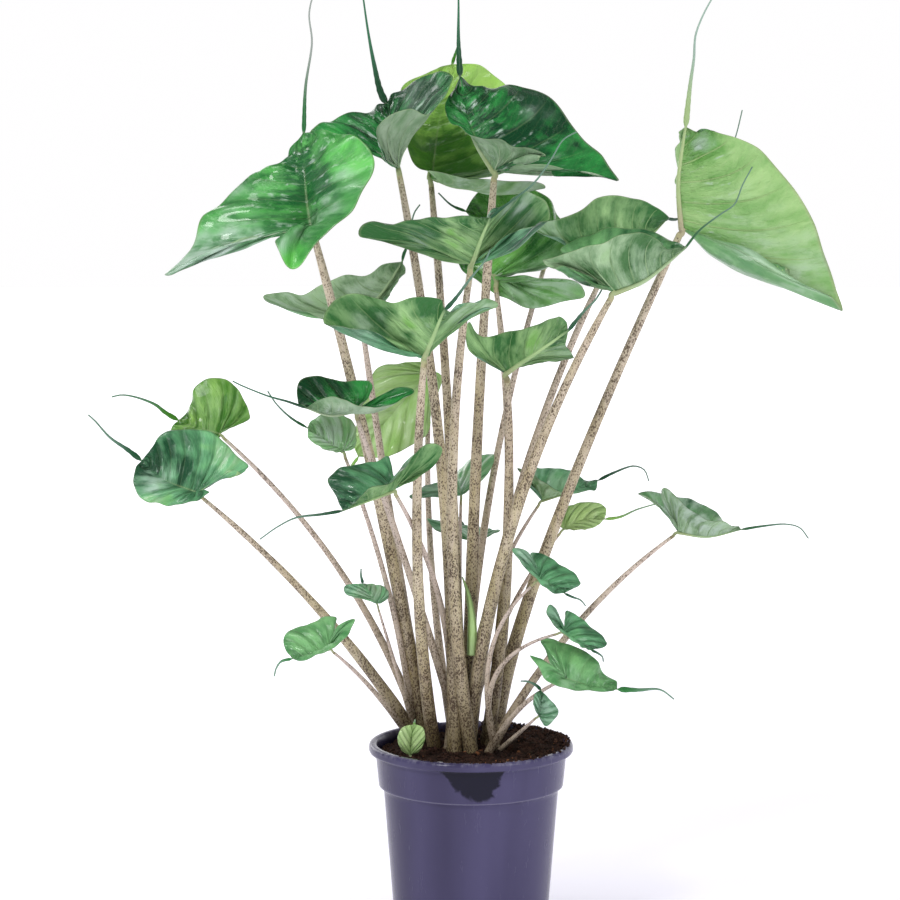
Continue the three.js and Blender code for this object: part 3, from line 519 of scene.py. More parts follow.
@dataclass(frozen=True)
class LeafFinish:
    """The colours and gloss of a leaf.

    upper and lower are the colours of the two faces, each from dark to light, and rib is that of the veins.
    The two colours after the tail's are those of painted highlights and sheen and of painted patches of
    light. puckers and glints say how strong the relief and the painted bright strokes are, green_root how
    green the midrib is where the tail starts, and relief how deep the relief is in metres.
    """

    slot: str
    upper: tuple[Colour, Colour]
    lower: tuple[Colour, Colour]
    rib: Colour = srgb("94ab78")
    tail: Colour = srgb("5f7f6c")
    # Painted highlights and sheen, then painted patches of light
    painted_highlight: Colour = srgb("bccdc4")
    lit: Colour = srgb("7dbb52")
    neck: tuple[Colour, Colour] = (srgb("a8a17c"), srgb("7b6f52"))
    gloss: float = 0.34
    puckers: float = 1
    glints: float = 0.3
    green_root: float = 1
    relief: float = 0.011

    def dress(self, name: str, veins: int, sweep_forward: float) -> bpy.types.Material:
        """Makes the material of a leaf.

        Args:
            name: The material's name.
            veins: How many spaces the side veins leave on each half.
            sweep_forward: How far the veins run forward on their way to the edge.

        Returns:
            The material.
        """
        shade = Shade(name)
        grain = LeafGrain(shade, veins, sweep_forward, self.puckers)
        blade = shade.layers(
            self._upper(shade, grain),
            (grain.under, self._lower(shade, grain)),
            # Painted patches of light, then painted highlights and sheen
            (grain.tone.rise(0.3, 0.9) * (0.1 + grain.folds.rise(0.38, 0.6) * 0.5), self.lit),
            (self._shine(grain), self.painted_highlight),
        )
        roughness = grain.under * 0.16 + grain.core * 0.1 + grain.mottle * 0.14 + grain.fine * 0.06
        return shade.finish(
            Base_Color=shade.mix(grain.core, blade, self._cord(shade, grain)),
            Roughness=roughness + (self.gloss - 0.08),
            Specular_IOR_Level=0.3,
            Coat_Weight=(1.0 - grain.under) * (1.0 - grain.core) * 0.35,
            Coat_Roughness=0.08,
            Normal=shade.bump(self._height(grain), 1.0, self.relief),
        )

    def _upper(self, shade: Shade, grain: LeafGrain) -> Value:
        """The colour of the upper face."""
        # Painted light on the tops of the folds and puckers, over the blade's own uneven colour
        streak = grain.folds.rise(0.36, 0.66) * 0.5 + grain.creases.rise(0.42, 0.62) * grain.root * 0.35
        light = streak + grain.patches.rise(0.35, 0.7) * 0.25 + grain.mottle.rise(0.45, 0.7) * 0.12
        return shade.layers(
            shade.mix(light + grain.tone * 0.9, *self.upper),
            (grain.lines * 0.14, self.rib),
            (grain.midrib * 0.6, self.rib),
            (grain.edge * 0.3, self.rib),
        )

    def _lower(self, shade: Shade, grain: LeafGrain) -> Value:
        """The colour of the lower face."""
        # Painted light on the folds and painted shade in the creases, with the blade's own uneven colour
        light = grain.folds.rise(0.3, 0.72) * 0.65 + grain.mottle.rise(0.4, 0.7) * 0.14
        light = light + grain.patches * 0.3 + grain.tone * 0.9 - grain.creases.rise(0.52, 0.36) * 0.18
        return shade.layers(
            shade.mix(light, *self.lower),
            (grain.lines * 0.16, self.rib),
            (grain.edge * 0.3, self.rib),
        )

    def _shine(self, grain: LeafGrain) -> Value:
        """Painted highlights: bright strokes beside the midrib, and soft patches of painted sheen."""
        glint = (grain.course * 1.5 + grain.folds * 1.6 + grain.patches).from_whole().rise(0.2, 0.04)
        glint = glint * grain.creases.rise(0.44, 0.6) * grain.mottle.rise(0.38, 0.6)
        glint = glint * grain.root.rise(0.1, 0.7) * (1.0 - grain.under * 0.4) * self.glints
        return glint + grain.sheen * (grain.folds.rise(0.4, 0.62) * 0.8 + 0.1)

    def _cord(self, shade: Shade, grain: LeafGrain) -> Value:
        """The colour of the neck, the midrib and the tail."""
        return shade.layers(
            shade.mix(grain.mottle.rise(0.5, 0.62), *self.neck),
            (grain.run.rise(0.2, 1.0) * 0.7, self.rib),
            (grain.run.rise(1.0, 1.3) * 0.6, self.lower[1]),
            (grain.run.rise(1.6, 1.95) * self.green_root, self.upper[0]),
            (grain.run.rise(2.1, 2.6), self.tail),
        )

    def _height(self, grain: LeafGrain) -> Value:
        """The height of the relief, from 0 to about 1."""
        height = grain.folds * grain.root * 0.55 + grain.creases * grain.root * 0.35
        height = height + grain.folds * 0.18 + grain.mottle * 0.08 + grain.creases * grain.under * 0.16
        height = height + grain.gap.rise(0.0, 0.25) * 0.1 - grain.lines * 0.04
        return height * (1.0 - grain.core) + grain.fine * 0.015


class Look(Enum):
    """The finishes that leaves have."""

    BRIGHT = LeafFinish(
        "leaf_bright",
        upper=(srgb("18602c"), srgb("60bd5a")),
        lower=(srgb("6f9c66"), srgb("a6c49a")),
        tail=srgb("8a928c"),
        lit=srgb("63c048"),
        gloss=0.28,
        puckers=1.2,
        glints=0.75,
    )
    FRESH = LeafFinish(
        "leaf_bright",
        upper=(srgb("2f783c"), srgb("82be7e")),
        lower=(srgb("5f9a58"), srgb("a6cf9a")),
        lit=srgb("84c878"),
        tail=srgb("6d9078"),
    )
    DEEP = LeafFinish(
        "leaf_deep",
        upper=(srgb("0c4022"), srgb("36a04a")),
        lower=(srgb("6d9168"), srgb("abc0a5")),
        tail=srgb("2f6648"),
        lit=srgb("3fa53c"),
        gloss=0.24,
        puckers=1.4,
        glints=0.9,
    )
    MOSS = LeafFinish(
        "leaf_deep",
        upper=(srgb("1c5a20"), srgb("6bb04c")),
        lower=(srgb("6d9168"), srgb("b4c8ae")),
        tail=srgb("3d6350"),
        gloss=0.26,
        glints=0.6,
    )
    OLIVE = LeafFinish(
        "leaf_young",
        upper=(srgb("3a7818"), srgb("98cc5a")),
        lower=(srgb("558a42"), srgb("a3c78c")),
        tail=srgb("4d7658"),
        lit=srgb("a6d068"),
    )
    YOUNG = LeafFinish(
        "leaf_young",
        upper=(srgb("84b456"), srgb("bedb98")),
        lower=(srgb("84b450"), srgb("b6d686")),
        tail=srgb("7d9a78"),
        lit=srgb("b2d67c"),
        puckers=0.5,
        glints=0.1,
    )
    PALE = LeafFinish(
        "leaf_grey",
        upper=(srgb("47804a"), srgb("88bb78")),
        lower=(srgb("649a4b"), srgb("9dc27e")),
        rib=srgb("aba488"),
        tail=srgb("8fa698"),
        lit=srgb("86bd5e"),
        green_root=0.2,
        gloss=0.3,
        puckers=1.3,
        glints=0.7,
    )
    GREY = LeafFinish(
        "leaf_grey",
        upper=(srgb("265c34"), srgb("7cb676")),
        lower=(srgb("40703c"), srgb("a4c298")),
        lit=srgb("78b84c"),
    )
    COOL = LeafFinish(
        "leaf_cool",
        upper=(srgb("184c2f"), srgb("70b780")),
        lower=(srgb("2f6a32"), srgb("98c082")),
        lit=srgb("6fb441"),
        gloss=0.3,
    )


@dataclass(frozen=True)
class Leaf:
    """One leaf, in millimetres.

    joint is where the stalk meets the blade and foot where the stalk leaves the soil. rib, tail, left and
    right run from the joint: the midrib to the root of the tail, the tail on to its end, and the edge of each
    half from the root of the tail round its wing and back to the joint. bow is how far the middle of the
    stalk stands off a straight line, girth is the stalk's radius at the soil and at the joint, arch is how
    much a blade swells upward, neck is the length of the stalk's end that belongs to the blade, and tail_band
    is how far the tail widens where it starts. The last two tables hold patches, as seen from the front, of
    painted light and shade and of painted sheen: x, z, radius, and how much lighter (below 0, darker) or more
    silvery each makes the blade.
    """

    name: str
    plant: str
    look: Look
    joint: Point
    girth: tuple[float, float]
    arch: float
    rib: tuple[Point, ...]
    tail: tuple[Point, ...]
    left: tuple[Point, ...]
    right: tuple[Point, ...]
    foot: tuple[float, float] = (0, 0)
    bow: Point = (0, 0, 0)
    neck: float = 10
    tail_band: float = 1.6
    light_and_shade: tuple[Patch, ...] = ()
    sheens: tuple[Patch, ...] = ()

    def placed(self, points: Iterable[Point]) -> list[np.ndarray]:
        """Moves points from the joint's frame to the part's."""
        return [np.add(self.joint, point) for point in points]

    @property
    def _course(self) -> tuple[np.ndarray, np.ndarray, np.ndarray]:
        """The points that set the stalk's curve: at the soil, in the middle and at the joint."""
        foot = np.array([*self.foot, SOIL_LEVEL], float)
        joint = np.array(self.joint, float)
        return foot, (foot + joint) / 2 + 2 * np.array(self.bow, float), joint

    def stalk(self, shares: np.ndarray | Sequence[float]) -> np.ndarray:
        """Points of the stalk's middle line, at shares of its way from the soil to the joint."""
        foot, middle, joint = self._course
        t = np.asarray(shares, float)[:, None]
        return foot * (1 - t) ** 2 + middle * 2 * t * (1 - t) + joint * t**2

    def share_below(self, distance: float) -> float:
        """The share of the stalk that lies below a point at this distance from the joint."""
        _, middle, joint = self._course
        return 1 - distance / (2 * float(np.linalg.norm(joint - middle)))


@dataclass(frozen=True)
class BladeSizes:
    """How a blade is built, in millimetres.

    A blade whose midrib is longer than large_rib takes the large step and number of vein spaces. The rows of
    a half start on the midrib for the share fan_start of the edge, and at the joint for the rest. quilt
    swells between the side veins, ruffle waves the edge, crumple dents the blade and fold runs with the
    veins: each is a height, as a share of the blade's width. sweep_forward is how far the veins run forward
    on their way to the edge. patch_grain and patch_sway make the patches of the table uneven.
    """

    large_rib: float = 64
    large_step: float = 3.05
    small_step: float = 1.9
    large_veins: int = 11
    small_veins: int = 8
    thickness: float = 0.9
    edge_thickness: float = 0.5
    fan_start: float = 0.5
    quilt: float = 0.011
    ruffle: float = 0.01
    crumple: float = 0.03
    fold: float = 0.055
    sweep_forward: float = 0.07
    shortest_vein: float = 8
    tail_step: float = 4
    patch_grain: float = 13
    patch_sway: float = 0.6
    rib_sides: int = 10
    vein_sides: int = 6


class Blade:
    """The fine form of one leaf: two waved halves, ribs, the neck and the tail."""

    def __init__(self, leaf: Leaf, neck_end: np.ndarray, sizes: BladeSizes = BladeSizes()) -> None:
        """Works out the grids of both halves.

        Args:
            leaf: The leaf.
            neck_end: Where its neck meets its stalk.
            sizes: How it is built.
        """
        self.leaf, self.neck_end, self.sizes = leaf, neck_end, sizes
        self.joint = np.array(leaf.joint, float)
        self.rib = Path([self.joint, *leaf.placed(leaf.rib)])
        tip = self.rib.points[-1]
        self.edges = {
            side: Path([tip, *leaf.placed(getattr(leaf, side)), self.joint]) for side in ("left", "right")
        }
        large = self.rib.length > sizes.large_rib
        step = sizes.large_step if large else sizes.small_step
        self.veins = sizes.large_veins if large else sizes.small_veins
        longest = max(edge.length for edge in self.edges.values())
        self.half_rows = max(12, round(longest / step / 2))
        self.shares = np.linspace(0, 1, 2 * self.half_rows + 1)
        self.halves = {side: self._half(side) for side in self.edges}
        ways = np.vstack([outward for _, outward, _ in self.halves.values()])
        self.width = float(np.linalg.norm(ways, axis=1).max())
        columns = int(np.clip(round(self.width / step), 8, 40))
        self.across = np.linspace(0, 1, columns + 1)
        self.form = Form(*LEAF_VALUES)

    def _half(self, side: str) -> tuple[np.ndarray, np.ndarray, np.ndarray]:
        """The inner end, the way to the edge and the upward swell of each row of one half."""
        edge = self.edges[side].at(self.shares)
        inner = self.rib.at(1 - np.minimum(1, self.shares / self.sizes.fan_start))
        outward = edge - inner
        swell = np.cross(unit(outward), unit(np.gradient(edge, axis=0)))
        if side == "right":
            swell = -swell
        swell = swell + 0.1 * unit(swell.sum(axis=0))
        # The swell of each row is evened out with that of an odd number of rows round it
        near = max(5, len(self.shares) // 6) | 1
        kernel = np.hanning(near + 2)[1:-1]
        padded = np.pad(swell, ((near // 2, near // 2), (0, 0)), mode="edge")
        even = np.stack([np.convolve(padded[:, k], kernel / kernel.sum(), "valid") for k in range(3)], axis=1)
        lengths = np.linalg.norm(outward, axis=1, keepdims=True)
        return inner, outward, unit(even) * lengths * self.leaf.arch

    def _middle(self, side: str) -> np.ndarray:
        """The smooth middle sheet of one half, as rows of points."""
        inner, outward, swell = self.halves[side]
        t = self.across[None, :, None]
        return inner[:, None] + outward[:, None] * t + swell[:, None] * np.sin(np.pi * t)

    def _normals(self, sheets: Halves) -> Halves:
        """The upward normals of both halves, alike where they share the rib, the tip and the joint."""
        normals = {}
        for side, sheet in sheets.items():
            turn = np.cross(np.gradient(sheet, axis=1), np.gradient(sheet, axis=0))
            normals[side] = unit(turn if side == "left" else -turn)
            normals[side][:, 0] = normals[side][:, 1]
        rib = unit(normals["left"][:, 0] + normals["right"][:, 0])
        rib[self.half_rows :] = rib[self.half_rows - 1]
        rib[0] = rib[1]
        for normal in normals.values():
            normal[:, 0] = rib
            normal[0] = rib[0]
            normal[-1] = rib[-1]
        return normals

    def _relief(self, side: str, sheet: np.ndarray) -> np.ndarray:
        """How far each point of one half stands off the smooth sheet: nothing at the tip and the joint."""
        sizes = self.sizes
        s, t = np.meshgrid(self.shares, self.across, indexing="ij")
        ends = smooth(s, 0, 0.06) * smooth(1 - s, 0, 0.06)
        course = (s + sizes.sweep_forward * t**2) * self.veins
        phase = noise.noise(Vector(self.joint * 0.013)) * 9
        quilt = np.sin(np.pi * course) ** 2 - 0.35
        uneven = 1 + 0.7 * np.sin(course * 1.9 + self.joint[0])
        quilt *= smooth(t, 0, 0.2) * (1 - smooth(t, 0.72, 1)) * uneven
        ruffle = np.sin(2 * np.pi * (s * 5.3 + phase)) + 0.6 * np.sin(2 * np.pi * (s * 9.1 - phase))
        ruffle *= smooth(t, 0.35, 1) ** 1.5
        crumple = noise_at(sheet / (self.width * 0.2))
        crumple *= smooth(t, 0, 0.25) * (0.5 + 1.5 * smooth(0.35 - s, 0, 0.3))
        slice_of_noise = np.full_like(s, 3.0 if side == "left" else 8.0)
        fold = noise_at(np.stack([course * 0.62 + phase, t * 1.5, slice_of_noise], axis=-1))
        fold *= smooth(t, 0, 0.22) * (0.5 + 0.5 * smooth(s, 0.35, 0.7))
        total = quilt * sizes.quilt + ruffle * sizes.ruffle + crumple * sizes.crumple + fold * sizes.fold
        return total * self.width * ends

    def _sheets(self) -> tuple[Halves, Halves]:
        """The middle sheets of both halves, with their relief, and their upward normals."""
        sheets = {side: self._middle(side) for side in self.halves}
        normals = self._normals(sheets)
        for side, sheet in sheets.items():
            sheets[side] = sheet + normals[side] * self._relief(side, sheet)[..., None]
        return sheets, self._normals(sheets)

    def _skins(self, sheets: Halves, normals: Halves) -> Halves:
        """Adds the upper and the lower face of both halves and the edge between them.

        Args:
            sheets: The middle sheets of both halves.
            normals: Their upward normals.

        Returns:
            The lower faces, as rows of points.
        """
        lowers = {}
        half = np.interp(self.across, [0, 0.8, 1], [1, 1, self.sizes.edge_thickness])
        half = (half * self.sizes.thickness / 2)[None, :, None]
        rows, columns = len(self.shares), len(self.across)
        faces = grid_faces(rows, columns)
        grain = np.stack(np.meshgrid(self.shares, self.across, indexing="ij"), axis=-1).reshape(-1, 2)
        rim_grain = np.stack([np.repeat(self.shares, 2), np.ones(2 * rows)], axis=1)
        for side, sheet in sheets.items():
            upper, lower = sheet + normals[side] * half, sheet - normals[side] * half
            lowers[side] = lower
            way = 1 if side == "left" else -1
            # Painted light and shade, and painted sheen
            tone = self._patched(sheet, self.leaf.light_and_shade)
            sheen = self._patched(sheet, self.leaf.sheens)
            self.form.add(upper.reshape(-1, 3), faces[:, ::way], grain, under=0, tone=tone, sheen=sheen)
            self.form.add(lower.reshape(-1, 3), faces[:, ::-way], grain, under=1, tone=tone, sheen=sheen)
            rim = np.stack([upper[:, -1], lower[:, -1]], axis=1).reshape(-1, 3)
            self.form.add(rim, grid_faces(rows, 2)[:, ::way], rim_grain, under=0.5)
        return lowers

    def _patched(self, sheet: np.ndarray, patches: tuple[Patch, ...]) -> np.ndarray:
        """The sum of soft uneven patches of painted light, shade or sheen at each point of a sheet."""
        away = (sheet - self.joint).reshape(-1, 3)
        total = np.zeros(len(away))
        if not patches:
            return total
        sway = np.array([noise.noise_vector(Vector(point)) for point in away / self.sizes.patch_grain])
        for x, z, radius, amount in patches:
            aside = away + sway * radius * self.sizes.patch_sway
            total += amount * np.exp(-((aside[:, 0] - x) ** 2 + (aside[:, 2] - z) ** 2) / radius**2)
        return np.clip(total, -1, 1)

    def _side_veins(self, lowers: Halves, normals: Halves) -> None:
        """Adds the raised side veins of the lower faces."""
        sizes = self.sizes
        thick = self.leaf.girth[1]
        t = np.linspace(0.01, 0.93, 16)
        for side, lower in lowers.items():
            for k in range(1, self.veins):
                s = np.clip(k / self.veins - sizes.sweep_forward * t**2, 0, 1)
                points, ups = self._on(lower, s, t), unit(self._on(normals[side], s, t))
                if np.linalg.norm(np.diff(points, axis=0), axis=1).sum() < sizes.shortest_vein:
                    continue
                radii = thick * 0.26 * (1 - t) ** 0.8 + 0.12
                sweep(
                    self.form,
                    points + ups * radii[:, None] * 0.1,
                    radii,
                    radii * 0.8,
                    ups,
                    sizes.vein_sides,
                    np.stack([s, t], axis=1),
                    under=1,
                    core=0.14,
                    run=1.2,
                )

    def _on(self, grid: np.ndarray, s: np.ndarray, t: np.ndarray) -> np.ndarray:
        """Values of a grid between its points, at shares along and across."""
        i, j = s * (len(self.shares) - 1), t * (len(self.across) - 1)
        i0 = np.minimum(i.astype(int), len(self.shares) - 2)
        j0 = np.minimum(j.astype(int), len(self.across) - 2)
        a, b = (i - i0)[:, None], (j - j0)[:, None]
        low = grid[i0, j0] * (1 - b) + grid[i0, j0 + 1] * b
        high = grid[i0 + 1, j0] * (1 - b) + grid[i0 + 1, j0 + 1] * b
        return low * (1 - a) + high * a

    def _neck(self) -> np.ndarray:
        """Points of the neck, from just inside the stalk's end to the joint."""
        back = unit(-np.array(self.leaf.rib[0], float)) * self.leaf.girth[1] * 0.7
        down = self.neck_end - self.joint
        bends = [
            self.neck_end + down * 0.25,
            self.neck_end,
            self.joint + down * 0.7,
            self.joint + down * 0.3 + back,
            self.joint + back * 0.1,
        ]
        return Path(bends).at(np.linspace(0, 1, 14)[:-1])

    def _tail(self, start: np.ndarray, root: float) -> tuple[np.ndarray, np.ndarray, np.ndarray, np.ndarray]:
        """Shapes the tail, which starts as a waved band and thins to a thread.

        Args:
            start: Where it leaves the midrib.
            root: The radius of the midrib there.

        Returns:
            The share of the way, the place, half the width and half the height of each of its points.
        """
        tail = Path([start, *self.leaf.placed(self.leaf.tail)])
        share = np.linspace(0, 1, max(12, int(tail.length / self.sizes.tail_step)))[1:]
        along = share * tail.length
        band = self.leaf.tail_band * np.exp(-((share / 0.42) ** 1.4)) * smooth(along, -4, 7)
        wide = np.maximum(root * (1 - share) * 0.8, 0.75) + band
        wide = wide * (1 + 0.1 * np.sin(along * 0.8) * (1 - smooth(along, 5, 60)))
        high = np.maximum(root * 0.75 * (1 - share) ** 0.9, 0.65) + band * 0.3
        return share, tail.at(share), wide, high

    def _cord(self, rib_line: np.ndarray, rib_normals: np.ndarray) -> None:
        """Adds the neck, the midrib and the tail as one tapering cord.

        Args:
            rib_line: Where the halves meet, from the tip to the joint and on at the joint.
            rib_normals: The upward normals there.
        """
        thick = self.leaf.girth[1]
        neck = self._neck()
        neck_share = np.linspace(0, 1, len(neck))
        neck_radii = thick * (1 - 0.1 * neck_share)
        ups = rib_normals[: self.half_rows + 1][::-1]
        line = rib_line[: self.half_rows + 1][::-1]
        rib_share = np.linspace(0, 1, len(line))
        rib_radii = thick * (0.8 - 0.45 * rib_share)
        rib = line - ups * (rib_radii * 0.8)[:, None]
        tail_share, tail, wide, high = self._tail(rib[-1], rib_radii[-1])
        points = np.vstack([neck, rib, tail])
        sweep(
            self.form,
            points,
            np.concatenate([neck_radii, rib_radii, wide]),
            np.concatenate([neck_radii, rib_radii, high]),
            self._carried(points, len(neck), ups),
            self.sizes.rib_sides,
            core=1,
            run=np.concatenate([neck_share, 1 + rib_share * 0.8, 2 + tail_share]),
        )

    @staticmethod
    def _carried(points: np.ndarray, before: int, ups: np.ndarray) -> np.ndarray:
        """Spreads the rib's upward directions to the points before and after it."""
        ahead = unit(np.gradient(points, axis=0))
        full = np.empty_like(points)
        full[before : before + len(ups)] = ups
        for i in range(before - 1, -1, -1):
            full[i] = unit(full[i + 1] - full[i + 1].dot(ahead[i]) * ahead[i])
        for i in range(before + len(ups), len(points)):
            full[i] = unit(full[i - 1] - full[i - 1].dot(ahead[i]) * ahead[i])
        return full

    def build(self) -> bpy.types.Object:
        """Builds the leaf's piece.

        Returns:
            The object, dressed.
        """
        sheets, normals = self._sheets()
        lowers = self._skins(sheets, normals)
        self._side_veins(lowers, normals)
        self._cord(sheets["left"][:, 0], normals["left"][:, 0])
        material = self.leaf.look.value.dress(
            f"finish_{self.leaf.name}", self.veins, self.sizes.sweep_forward
        )
        return self.form.piece(f"fine_{self.leaf.name}", material)


@dataclass(frozen=True)
class StalkFinish:
    """The colours of the speckled stalks."""

    slot: str = "stalk"
    ground: tuple[Colour, Colour] = (srgb("a89a6c"), srgb("c8bc9a"))
    pale: Colour = srgb("cbbbb0")
    top: Colour = srgb("a5ad82")
    foot: Colour = srgb("6c5936")
    speckle: Colour = srgb("4c3a28")

    def dress(self, name: str) -> bpy.types.Material:
        """Makes the material of the stalks."""
        shade = Shade(name)
        rise, tone = shade.held("rise"), shade.held("tone")
        patches = shade.cloud(shade.place(), 14, 3)
        spots = shade.cloud(shade.place((1, 1, 0.7)), 70, 3, 0.6)
        streaks = shade.cloud(shade.place((1, 1, 0.06)), 260, 2)
        ground = shade.layers(
            shade.mix(patches.rise(0.3, 0.7), *self.ground),
            (streaks.rise(0.3, 0.75) * 0.4, self.pale),
            (tone * 0.6 + rise.rise(0.3, 1.0) * 0.45, self.pale),
            (rise.rise(0.93, 1.02) * 0.6, self.top),
            (rise.rise(0.45, 0.0) * 0.5, self.foot),
        )
        cover = spots.rise(0.25, 0.7) * 0.26 + rise.rise(0.5, 0.0) * 0.1 + (0.33 - tone * 0.04)
        dark = self._dots(shade, (1, 1, 0.65), 560, cover) * 0.75
        dark = dark + self._dots(shade, (1, 1, 0.8), 1000, cover) * 0.45
        dark = dark * (1.0 - tone * 0.2 - rise.rise(0.85, 1.0) * 0.3)
        return shade.finish(
            Base_Color=shade.mix(dark, ground, self.speckle),
            Roughness=0.42 + spots * 0.2,
            Normal=shade.bump(streaks * 0.6 + dark * 0.2, 0.35, 0.0006),
        )

    @staticmethod
    def _dots(shade: Shade, stretch: Point, scale: float, cover: Value) -> Value:
        """Round dots of changing size, 1 inside a dot and 0 outside."""
        inputs = {"Vector": shade.place(stretch), "Scale": scale}
        away = shade.node("ShaderNodeTexVoronoi", inputs=inputs, output="Distance")
        return ((cover - away) * 6.0).rise(0.0, 1.0)


@dataclass(frozen=True)
class SoilFinish:
    """The colours of the potting soil."""

    slot: str = "soil"
    dark: Colour = srgb("1c120f")
    brown: Colour = srgb("472f26")
    fibre: Colour = srgb("8a5a3c")

    def dress(self, name: str) -> bpy.types.Material:
        """Makes the material of the soil."""
        shade = Shade(name)
        place = shade.place()
        tint = shade.held("tint")
        lumps = shade.cloud(place, 90, 4, 0.6)
        crumbs = shade.cloud(place, 420, 4, 0.7)
        colour = shade.layers(
            self.dark,
            (lumps.rise(0.35, 0.7) * 0.7 + crumbs * 0.2, self.brown),
            (tint.rise(0.55, 0.95) * 0.8, self.brown),
            (tint.rise(0.965, 0.985) * 0.8, self.fibre),
        )
        return shade.finish(
            Base_Color=colour,
            Roughness=0.78 + crumbs * 0.2,
            Specular_IOR_Level=0.2,
            Normal=shade.bump(crumbs * 0.6 + lumps * 0.4, 0.8, 0.0015),
        )


@dataclass(frozen=True)
class PotFinish:
    """The colours of the moulded plastic pot."""

    slot: str = "pot"
    plastic: tuple[Colour, Colour] = (srgb("3a3652"), srgb("4e4a6b"))
    shadow: Colour = srgb("0a0a1c")
    # Pale dust, also the colour of the painted highlights
    dust_and_highlight: Colour = srgb("8d8a9e")

    def dress(self, name: str) -> bpy.types.Material:
        """Makes the material of the pot."""
        shade = Shade(name)
        cloud = shade.cloud(shade.place((1, 1, 0.12)), 11, 3)
        scuffs = shade.cloud(shade.place((1, 1, 0.2)), 130, 4, 0.7)
        peel = shade.cloud(shade.place(), 650, 2)
        flow = shade.cloud(shade.place((1, 1, 6)), 24, 2)
        _, high = shade.grain()
        ledge, lip = COLLAR_FOOT * MM, POT_HEIGHT * MM
        # Painted highlight: a pale line along the foot of the collar
        highlight_and_wear = high.rise(ledge - 0.0009, ledge) * high.rise(ledge + 0.002, ledge + 0.0008) * 0.5
        # Dust rubbed along the lip, with a painted highlight there
        highlight_and_wear = highlight_and_wear + high.rise(lip - 0.0045, lip - 0.0005) * scuffs.rise(0.4, 0.65) * 0.7
        # A ragged wedge on the collar's front, painted almost black and made glossier
        dark_wedge = self._dark_wedge(shade)
        colour = shade.layers(
            shade.mix(cloud.rise(0.3, 0.7), *self.plastic),
            (scuffs.rise(0.62, 0.85) * 0.12 + highlight_and_wear * (0.4 + peel * 0.6), self.dust_and_highlight),
            (dark_wedge * 0.95, self.shadow),
            # Painted shade over the inner wall
            (shade.held("inside") * 0.8, self.shadow),
        )
        roughness = 0.16 + scuffs.rise(0.5, 0.8) * 0.16 + cloud * 0.08
        return shade.finish(
            Base_Color=colour,
            Roughness=roughness - dark_wedge * (roughness - 0.06),
            Specular_IOR_Level=0.2,
            Normal=shade.bump(peel * 0.3 + flow * 0.7, 0.12, 0.0008),
        )

    @staticmethod
    def _dark_wedge(shade: Shade) -> Value:
        """A ragged dark wedge on the front of the collar, 1 inside it and 0 outside."""
        turn, high = shade.grain()
        low, top = (COLLAR_FOOT + 5) * MM, (POT_HEIGHT - 9.5) * MM
        ragged = shade.cloud(shade.place(), 75, 4, 0.6) - 0.5
        aside = (turn + 0.25 + (high - top) * 0.5).from_whole() - (high - low) * 1.15
        foot = high + ragged * 0.02 - aside * 0.12
        wedge = (aside + ragged * 0.04).rise(0.024, 0.015) * foot.rise(low - 0.004, low + 0.002)
        return wedge * high.rise(top + 0.002, top)


@dataclass(frozen=True)
class Stalks:
    """The stalks of one plant, from inside the soil to the necks of their leaves, in millimetres.

    depth is how far they reach into the soil, and gap is left between a stalk and its leaf's neck. fullness
    is how much thicker than at the joint a stalk is before it narrows, over the length narrowing. Stalks
    slimmer than about pale_girth at the foot are pale. oval is how wide and how high a section is, beside its
    radius, and groove how deep its grooves are.
    """

    plant: str
    leaves: tuple[Leaf, ...]
    depth: float = 24
    gap: float = 0.3
    step: float = 7
    sides: int = 20
    fullness: float = 1.2
    narrowing: float = 60
    pale_girth: float = 5
    oval: tuple[float, float] = (1.04, 0.97)
    groove: float = 0.02

    def build(self, finish: StalkFinish) -> bpy.types.Object:
        """Builds the plant's stalks as one piece.

        Args:
            finish: Their finish.

        Returns:
            The object, dressed.
        """
        form = Form("rise", "tone")
        for number, leaf in enumerate(self.leaves):
            self._stalk(form, leaf, number)
        return form.piece(f"fine_{self.plant}", finish.dress(f"finish_{self.plant}"))

    def _stalk(self, form: Form, leaf: Leaf, number: int) -> None:
        """Adds one stalk."""
        top = leaf.share_below(leaf.neck + self.gap)
        length = float(np.linalg.norm(np.subtract(leaf.joint, (*leaf.foot, SOIL_LEVEL))))
        t = np.linspace(0, top, max(8, int(length / self.step)))
        points = leaf.stalk(t)
        start = unit(points[0] - points[1])
        down = unit(start + np.array([0, 0, -1.0]))
        points = np.vstack([points[0] + down * self.depth, points[0] + down * self.depth / 2, points])
        t = np.concatenate([[0, 0], t])
        foot, joint = leaf.girth
        to_joint = length * (1 - t)
        full = joint * self.fullness + (foot - joint * self.fullness) * np.maximum(1 - t, 0) ** 1.25
        radii = full - joint * (self.fullness - 1) * (1 - smooth(to_joint, leaf.neck, self.narrowing))
        up = np.array([math.cos(number * 2.4), math.sin(number * 2.4), 0.1])
        grooves = 1 + self.groove * np.sin(t * 37 + number)
        tone = float(smooth(self.pale_girth * 1.5 - foot, 0, self.pale_girth * 0.6))
        wide, high = self.oval
        sweep(form, points, radii * wide * grooves, radii * high, up, self.sides, rise=t, tone=tone)


@dataclass(frozen=True)
class Drift:
    """Crumbs round the lip: how many, about which way in degrees, and from which radius outward."""

    count: int
    way: float
    spread: float
    inner_radius: float


